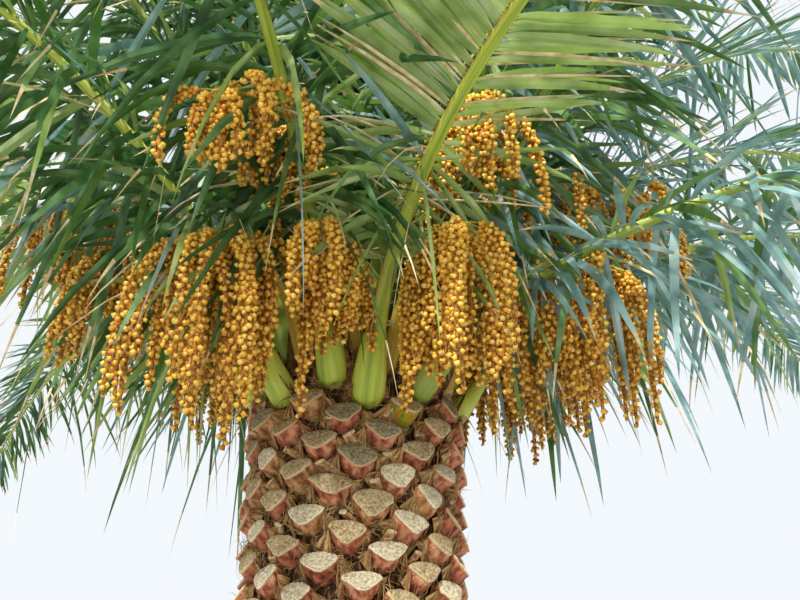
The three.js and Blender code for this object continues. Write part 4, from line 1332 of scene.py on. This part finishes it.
# The spines: stiff pale leaflets, hardly more than thorns, that stand in pairs along both edges of each
# petiole and are longer the farther out they grow.
SPINES_A_SIDE = 13
SPINES_FROM = 0.045
SPINE_AWAY = (58, 18)
SPINE_AWAY_SCATTER = 8
SPINE_RAISED_SCATTER = 30
SPINE_REACH = (0.05, 0.24)
SPINE_REACH_POWER = 1.5
SPINE_REACH_SCATTER = (0.8, 1.2)
SPINE_WIDTH = 0.009
SPINE_SAG = 0.02
SPINE_STATIONS = np.array([0, 0.5])
SPINE_WIDTHS = np.array([1, 0.7])

number, which, hand = both_sides(SPINES_A_SIDE, np.arange(len(frond_leaf)))
count = len(number)
up = (number + chance.uniform(0, 1, count)) / SPINES_A_SIDE
away = SPINE_AWAY[0] - SPINE_AWAY[1] * up + SPINE_AWAY_SCATTER * chance.standard_normal(count)
raised = SPINE_RAISED_SCATTER * chance.standard_normal(count)
spines = blade_frames(which, hand, mix(SPINES_FROM, PETIOLE_SHARE, up), away, raised)
spines["reach"] = mix(*SPINE_REACH, up ** SPINE_REACH_POWER) * chance.uniform(*SPINE_REACH_SCATTER, count)
spines["width"] = np.full(count, SPINE_WIDTH)
spines["sag"] = np.full(count, SPINE_SAG)
spine_points = blade_tubes(spines, SPINE_STATIONS, SPINE_WIDTHS, 1)
piece("spines", *spine_points, leaf_finishes[YELLOW_GREEN], "fronds", crown_names, False)

# The fruit stalks: flat orange-green stems that arch out between the fronds, and the thin strands that
# hang from their outer half, thick with dates.
STALK_HALF_WIDTH = 0.020
STALK_TAPER = 0.6
STALK_THICKNESS = 0.5
STALK_BULB = 0.6
STALK_BULB_DEPTH = 0.75
STALK_SECTIONS = 18
STRANDS = 42
STRANDS_FROM = 0.40
STRAND_LENGTH = 0.50
UPPER_STRAND_LENGTH = 0.33
FRONT_STRAND_LENGTH = 0.32
LENGTH_SHARES = {10: 1.12, 16: 1.15, 19: 0.74, 22: 0.70, 29: 0.78}
LENGTH_SCATTER = (0.62, 1.0)
STRAND_SPREAD = 0.24
UPPER_SPREAD = 0.24
FRONT_SPREAD = 0.10
SPREAD_SCATTER = (0.03, 1)
SPREAD_POWER = 1.15
RIB_SIDE_SEATS = (13, 47)
RIB_SIDE_SHARE = 0.25
AHEAD_SCATTER = (-0.07, 0.09)
STRAND_END_SPREAD = (0.8, 1.15)
BEND_SPREAD = 1.15
BEND_LIFT = 0.02
STRAND_SECTIONS = 7
STRAND_AROUND = 5
STRAND_RADIUS = 0.0028
STRAND_TAPER = 0.001
DATES_FROM = 0.20
CORE_RADIUS = 0.0088
ROPE_TOP = {"least": 0.35, "widening": 6}
ROPE_FOOT = {"least": 0.45, "widening": 7, "at": 1.01}
OFF_AXIS = [0.31, 0.95, 0.02]
# The fruit draws from a seed of its own, so that a change to the leaves leaves it as it is.
FRUIT_SEED = 3
chance = np.random.default_rng(FRUIT_SEED)

stalk_leaf = FRUITING
stalk_face = face_of(stalk_leaf)
stalks = curved_lines(stalk_face["centre"], stalk_face["azimuth"], stalk_shape(stalk_leaf))
bunch_names = [f"fruit_bunch_{number:02d}" for number in range(1, len(stalk_leaf) + 1)]


def stalk_tubes():
    """Oval rods along the stalks' lines, swollen at the stem and slim at the end."""
    every = np.arange(len(stalk_leaf))
    share = mix((BULB_END / stalks["length"])[:, None], 1.0, np.linspace(0, 1, STALK_SECTIONS)[None])
    which = np.broadcast_to(every[:, None], share.shape)
    place, _, side, up = on_line(stalks, which, share)
    half = STALK_HALF_WIDTH * (1 - STALK_TAPER * share ** 2)
    rods = rod_sections(place, side, up, half, STALK_THICKNESS * half, STALK_THICKNESS * half)
    scale = np.full(len(every), STALK_BULB)
    base = bulbs(stalk_face, stalks, every, scale, half[:, 0], STALK_BULB_DEPTH * half[:, 0])
    run = np.concatenate([np.tile(share[:1, :1], (len(every), BULB_SECTIONS)), share], axis=1)
    whole = np.concatenate([base, rods], axis=1).reshape(len(stalk_leaf), -1, 3)
    return whole, grain_of(run, RIB_AROUND, RIB_GRAIN)


def strand_lines():
    """Root, bend and foot of every strand: it leaves the stalk sideways and ahead, then hangs. Two bunches
    hang clear of the oldest frond's rib, and some are longer or shorter than the rest."""
    number, which = np.meshgrid(np.arange(STRANDS), np.arange(len(stalk_leaf)), indexing="ij")
    number, which = number.ravel(), which.ravel()
    count = len(number)
    share = mix(STRANDS_FROM, 1.0, (number + 0.5) / STRANDS)
    place, along, side, _ = on_line(stalks, which, share)
    ahead = along.copy()
    ahead[:, 2] = 0
    ahead /= np.linalg.norm(ahead, axis=1, keepdims=True)
    hand = np.where(number % 2, 1.0, -1.0)
    leaf = stalk_leaf[which]
    front, upper = leaf == FRONT_STALK_SEAT, leaf >= TIER_STARTS[1]
    sideways = np.select([front, upper], [FRONT_SPREAD, UPPER_SPREAD], STRAND_SPREAD)
    length = np.select([front, upper], [FRONT_STRAND_LENGTH, UPPER_STRAND_LENGTH], STRAND_LENGTH)
    sideways = sideways * np.where(np.isin(leaf, RIB_SIDE_SEATS) & (hand < 0), RIB_SIDE_SHARE, 1)
    for seat, length_share in LENGTH_SHARES.items():
        length = length * np.where(leaf == seat, length_share, 1)
    spread = side * (hand * sideways * chance.uniform(*SPREAD_SCATTER, count) ** SPREAD_POWER)[:, None]
    spread += ahead * chance.uniform(*AHEAD_SCATTER, count)[:, None]
    foot = place + spread * chance.uniform(*STRAND_END_SPREAD, (count, 1))
    foot[:, 2] -= length * chance.uniform(*LENGTH_SCATTER, count)
    bend = place + BEND_SPREAD * spread
    bend[:, 2] += BEND_LIFT
    return place, bend, foot


def on_strand(strands, share):
    """Places and headings on quadratic curves from root by bend to foot. Strands by shares by 3."""
    root, bend, foot = (part[:, None] for part in strands)
    t = share[..., None]
    place = (1 - t) ** 2 * root + 2 * t * (1 - t) * bend + t ** 2 * foot
    heading = 2 * (1 - t) * (bend - root) + 2 * t * (foot - bend)
    return place, heading / np.linalg.norm(heading, axis=-1, keepdims=True)


def ring_axes(heading):
    """Two unit axes square to each heading and to each other, from a direction that none of them takes."""
    first = np.cross(heading, OFF_AXIS)
    first /= np.linalg.norm(first, axis=-1, keepdims=True)
    return first, np.cross(heading, first)


def rope_swell(share):
    """How far the rope of dates has swelled at a share of its strand: it narrows at both ends."""
    top = ROPE_TOP["least"] + ROPE_TOP["widening"] * (share - DATES_FROM)
    foot = ROPE_FOOT["least"] + ROPE_FOOT["widening"] * (ROPE_FOOT["at"] - share)
    return np.minimum(1, top) * np.minimum(1, foot)


def strand_tubes(strands, first_share, radius):
    """Round rods along the strands from a share to the foot, of radii section by section."""
    share = np.linspace(first_share, 1, STRAND_SECTIONS)
    place, heading = on_strand(strands, np.broadcast_to(share, (len(strands[0]), STRAND_SECTIONS)))
    first, second = ring_axes(heading)
    turn = (2 * np.pi * np.arange(STRAND_AROUND) / STRAND_AROUND)[:, None]
    ring = first[:, :, None] * np.cos(turn) + second[:, :, None] * np.sin(turn)
    tubes = place[:, :, None] + radius(share)[:, None, None] * ring
    return join_copies(tubes.reshape(len(tubes), -1, 3), tube_faces(STRAND_SECTIONS, STRAND_AROUND))


stalk_finish = rib_finish("fruit_stalk", "#a88a22", "#c8a636", "#d8bc4c", "#d8a038")
strand_finish = finish_of("fruit_strand", "#c8ac40", roughness=0.5, specular=0.4)
strand_blotches = noise_on(strand_finish, scale=12)
mottle(strand_finish, strand_blotches, [(0.3, "#a88a2c"), (0.5, "#c8ac40"), (0.7, "#d8c45c")])
# A rod fills each rope of dates in place of the inner fruit. It is a darker brown-gold than the dates: the
# inner fruit, with painted shade for the shadow among the dates.
shaded_core_finish = finish_of("shaded_inner_fruit", "#a06a24", roughness=0.6, specular=0.3)
core_blotches = noise_on(shaded_core_finish, scale=110)
mottle(shaded_core_finish, core_blotches, [(0.35, "#6a4214"), (0.5, "#a06a24"), (0.62, "#cc9638")])
strands = strand_lines()
stalk_faces = tube_faces(BULB_SECTIONS + STALK_SECTIONS, RIB_AROUND)
stalk_points, stalk_grain = stalk_tubes()
stalk_points, stalk_faces = join_copies(stalk_points, stalk_faces)
piece("fruit_stalks", stalk_points, stalk_faces, stalk_finish, "dates", bunch_names, grain=stalk_grain)
twigs = strand_tubes(strands, 0, lambda share: STRAND_RADIUS - STRAND_TAPER * share)
piece("fruit_strands", *twigs, strand_finish, "dates", bunch_names)
cores = strand_tubes(strands, DATES_FROM, lambda share: CORE_RADIUS * rope_swell(share))
piece("shaded_inner_fruit", *cores, shaded_core_finish, "dates", bunch_names)

# The dates: small oval fruit, dull gold to orange, packed round each strand in a close spiral. Some are
# riper and browner.
DATES_A_STRAND = 70
DATE_RADIUS = 0.0082
DATE_SIZES = (0.86, 1.14)
DATE_RING = 0.0134
DATE_STRETCH = 1.25
DATE_CORNERS = 4
DATE_SHOULDER = 0.56
DATE_FULLNESS = 1.1
DATE_JITTER = 0.006
FULL_TURN = 6.28
TURN_SCATTER = 0.25
RING_SCATTER = 0.14
DATE_LEAN = 0.6
LONG_STRAND = 0.50
FEWEST_DATES = 0.6
BUNCH_RIPENESS = 0.3
FRUIT_RIPENESS = 0.7
RIPENESS_STEPS = [0.26, 0.48, 0.70, 0.90]


def one_date():
    """Two rings of four points, an eighth of a turn apart, with their squares closed: a barrel that
    smooth shading rounds off, on a sphere stretched along Z."""
    step = 2 * np.pi * np.arange(DATE_CORNERS) / DATE_CORNERS
    level = np.sqrt(DATE_FULLNESS - DATE_SHOULDER ** 2)
    low = np.stack([level * np.cos(step), level * np.sin(step), 0 * step - DATE_SHOULDER], axis=1)
    half = step + np.pi / DATE_CORNERS
    high = np.stack([level * np.cos(half), level * np.sin(half), 0 * step + DATE_SHOULDER], axis=1)
    k = np.arange(DATE_CORNERS)
    n = (k + 1) % DATE_CORNERS
    walls = [
        np.stack([k, n, DATE_CORNERS + k], axis=1),
        np.stack([n, DATE_CORNERS + n, DATE_CORNERS + k], axis=1),
    ]
    ends = [[0, 2, 1], [0, 3, 2], [4, 5, 6], [4, 6, 7]]
    return np.concatenate([low, high]) * [1, 1, DATE_STRETCH], np.concatenate([*walls, ends])


def all_dates(strands):
    """Centres and axes of the dates, and the strand of each: turned by the golden angle from one to the
    next, at a ring radius that narrows at both ends of the strand, and leaning out and down from it.
    Short strands lack some."""
    count = len(strands[0])
    number = np.arange(DATES_A_STRAND)
    share = mix(DATES_FROM, 1.0, (number + 0.5) / DATES_A_STRAND)
    share = share[None] + DATE_JITTER * chance.uniform(-1, 1, (count, DATES_A_STRAND))
    place, heading = on_strand(strands, np.minimum(share, 1))
    first, second = ring_axes(heading)
    turn = number[None] * np.radians(-DIVERGENCE) + FULL_TURN * chance.uniform(size=(count, 1))
    turn = (turn + TURN_SCATTER * chance.standard_normal(turn.shape))[..., None]
    outward = first * np.cos(turn) + second * np.sin(turn)
    ring = DATE_RING * rope_swell(share) * (1 + RING_SCATTER * chance.standard_normal(share.shape))
    centre = place + outward * ring[..., None]
    axis = outward + DATE_LEAN * heading
    axis /= np.linalg.norm(axis, axis=-1, keepdims=True)
    length = np.linalg.norm(strands[2] - strands[0], axis=1, keepdims=True)
    kept_share = FEWEST_DATES + (1 - FEWEST_DATES) * length / LONG_STRAND
    kept = chance.uniform(size=share.shape) < kept_share
    return centre[kept], axis[kept], np.nonzero(kept)[0]


def date_finish(name, deep, main, light):
    """Satin skin whose colour wanders from fruit to fruit."""
    made = finish_of(name, main, roughness=0.3, specular=0.5)
    return mottle(made, noise_on(made, scale=60, detail=2), [(0.32, deep), (0.5, main), (0.68, light)])


date_finishes = [
    date_finish("golden_date", "#e4ac34", "#fac850", "#ffe080"),
    date_finish("yellow_date", "#deaa2e", "#f6c446", "#ffdc6c"),
    date_finish("orange_date", "#d6952c", "#f2b540", "#fccc60"),
    date_finish("amber_date", "#b87a22", "#dea034", "#f0ba50"),
    date_finish("ripe_date", "#7c4c1c", "#b87c2e", "#d69e46"),
]
date_points, date_faces = one_date()
centres, axes, date_strand = all_dates(strands)
first, second = ring_axes(axes)
size = DATE_RADIUS * chance.uniform(*DATE_SIZES, len(centres))[:, None, None]
shape = np.stack([first, second, axes], axis=1)
dates = centres[:, None] + size * np.einsum("pk,nkx->npx", date_points, shape)
ripeness = chance.uniform(0, BUNCH_RIPENESS, len(stalk_leaf))[date_strand % len(stalk_leaf)]
ripeness = ripeness + FRUIT_RIPENESS * chance.uniform(size=len(centres))
date_kind = np.digitize(ripeness, RIPENESS_STEPS)
for number, made in enumerate(date_finishes):
    points, faces = join_copies(dates[date_kind == number], date_faces)
    piece(f"dates_{number + 1}", points, faces, made, "dates", bunch_names)

# The studio: a plain pale floor at ground level, a bright even sky and one broad soft sun from the front
# left, high up.
FLOOR_HALF = 30.0
SKY = 0.98
SKY_COLOUR = (0.92, 0.96, 1.0, 1)
SUN = 5.9
SUN_COLOUR = (1.0, 0.96, 0.9)
SUN_HEIGHT = 42.0
SUN_AZIMUTH = -106.0
SUN_BREADTH = 4.0

floor_mesh = bpy.data.meshes.new("floor")
edge = FLOOR_HALF
corners = [(-edge, -edge, 0), (edge, -edge, 0), (edge, edge, 0), (-edge, edge, 0)]
floor_mesh.from_pydata(corners, [], [(0, 1, 2, 3)])
floor = bpy.data.objects.new("floor", floor_mesh)
floor_mesh.materials.append(finish_of("pale_floor", "#acaaa4", roughness=0.9, specular=0.2))
bpy.context.scene.collection.objects.link(floor)

world = bpy.data.worlds.new("sky")
world.use_nodes = True
world.node_tree.nodes["Background"].inputs["Color"].default_value = SKY_COLOUR
world.node_tree.nodes["Background"].inputs["Strength"].default_value = SKY
bpy.context.scene.world = world

bpy.context.scene.view_settings.view_transform = "Standard"

sun = bpy.data.objects.new("sun", bpy.data.lights.new("sun", "SUN"))
sun.data.energy = SUN
sun.data.angle = np.radians(SUN_BREADTH)
sun.data.color = SUN_COLOUR
sun.rotation_euler = (np.radians(90 - SUN_HEIGHT), 0, np.radians(SUN_AZIMUTH + 90))
bpy.context.scene.collection.objects.link(sun)
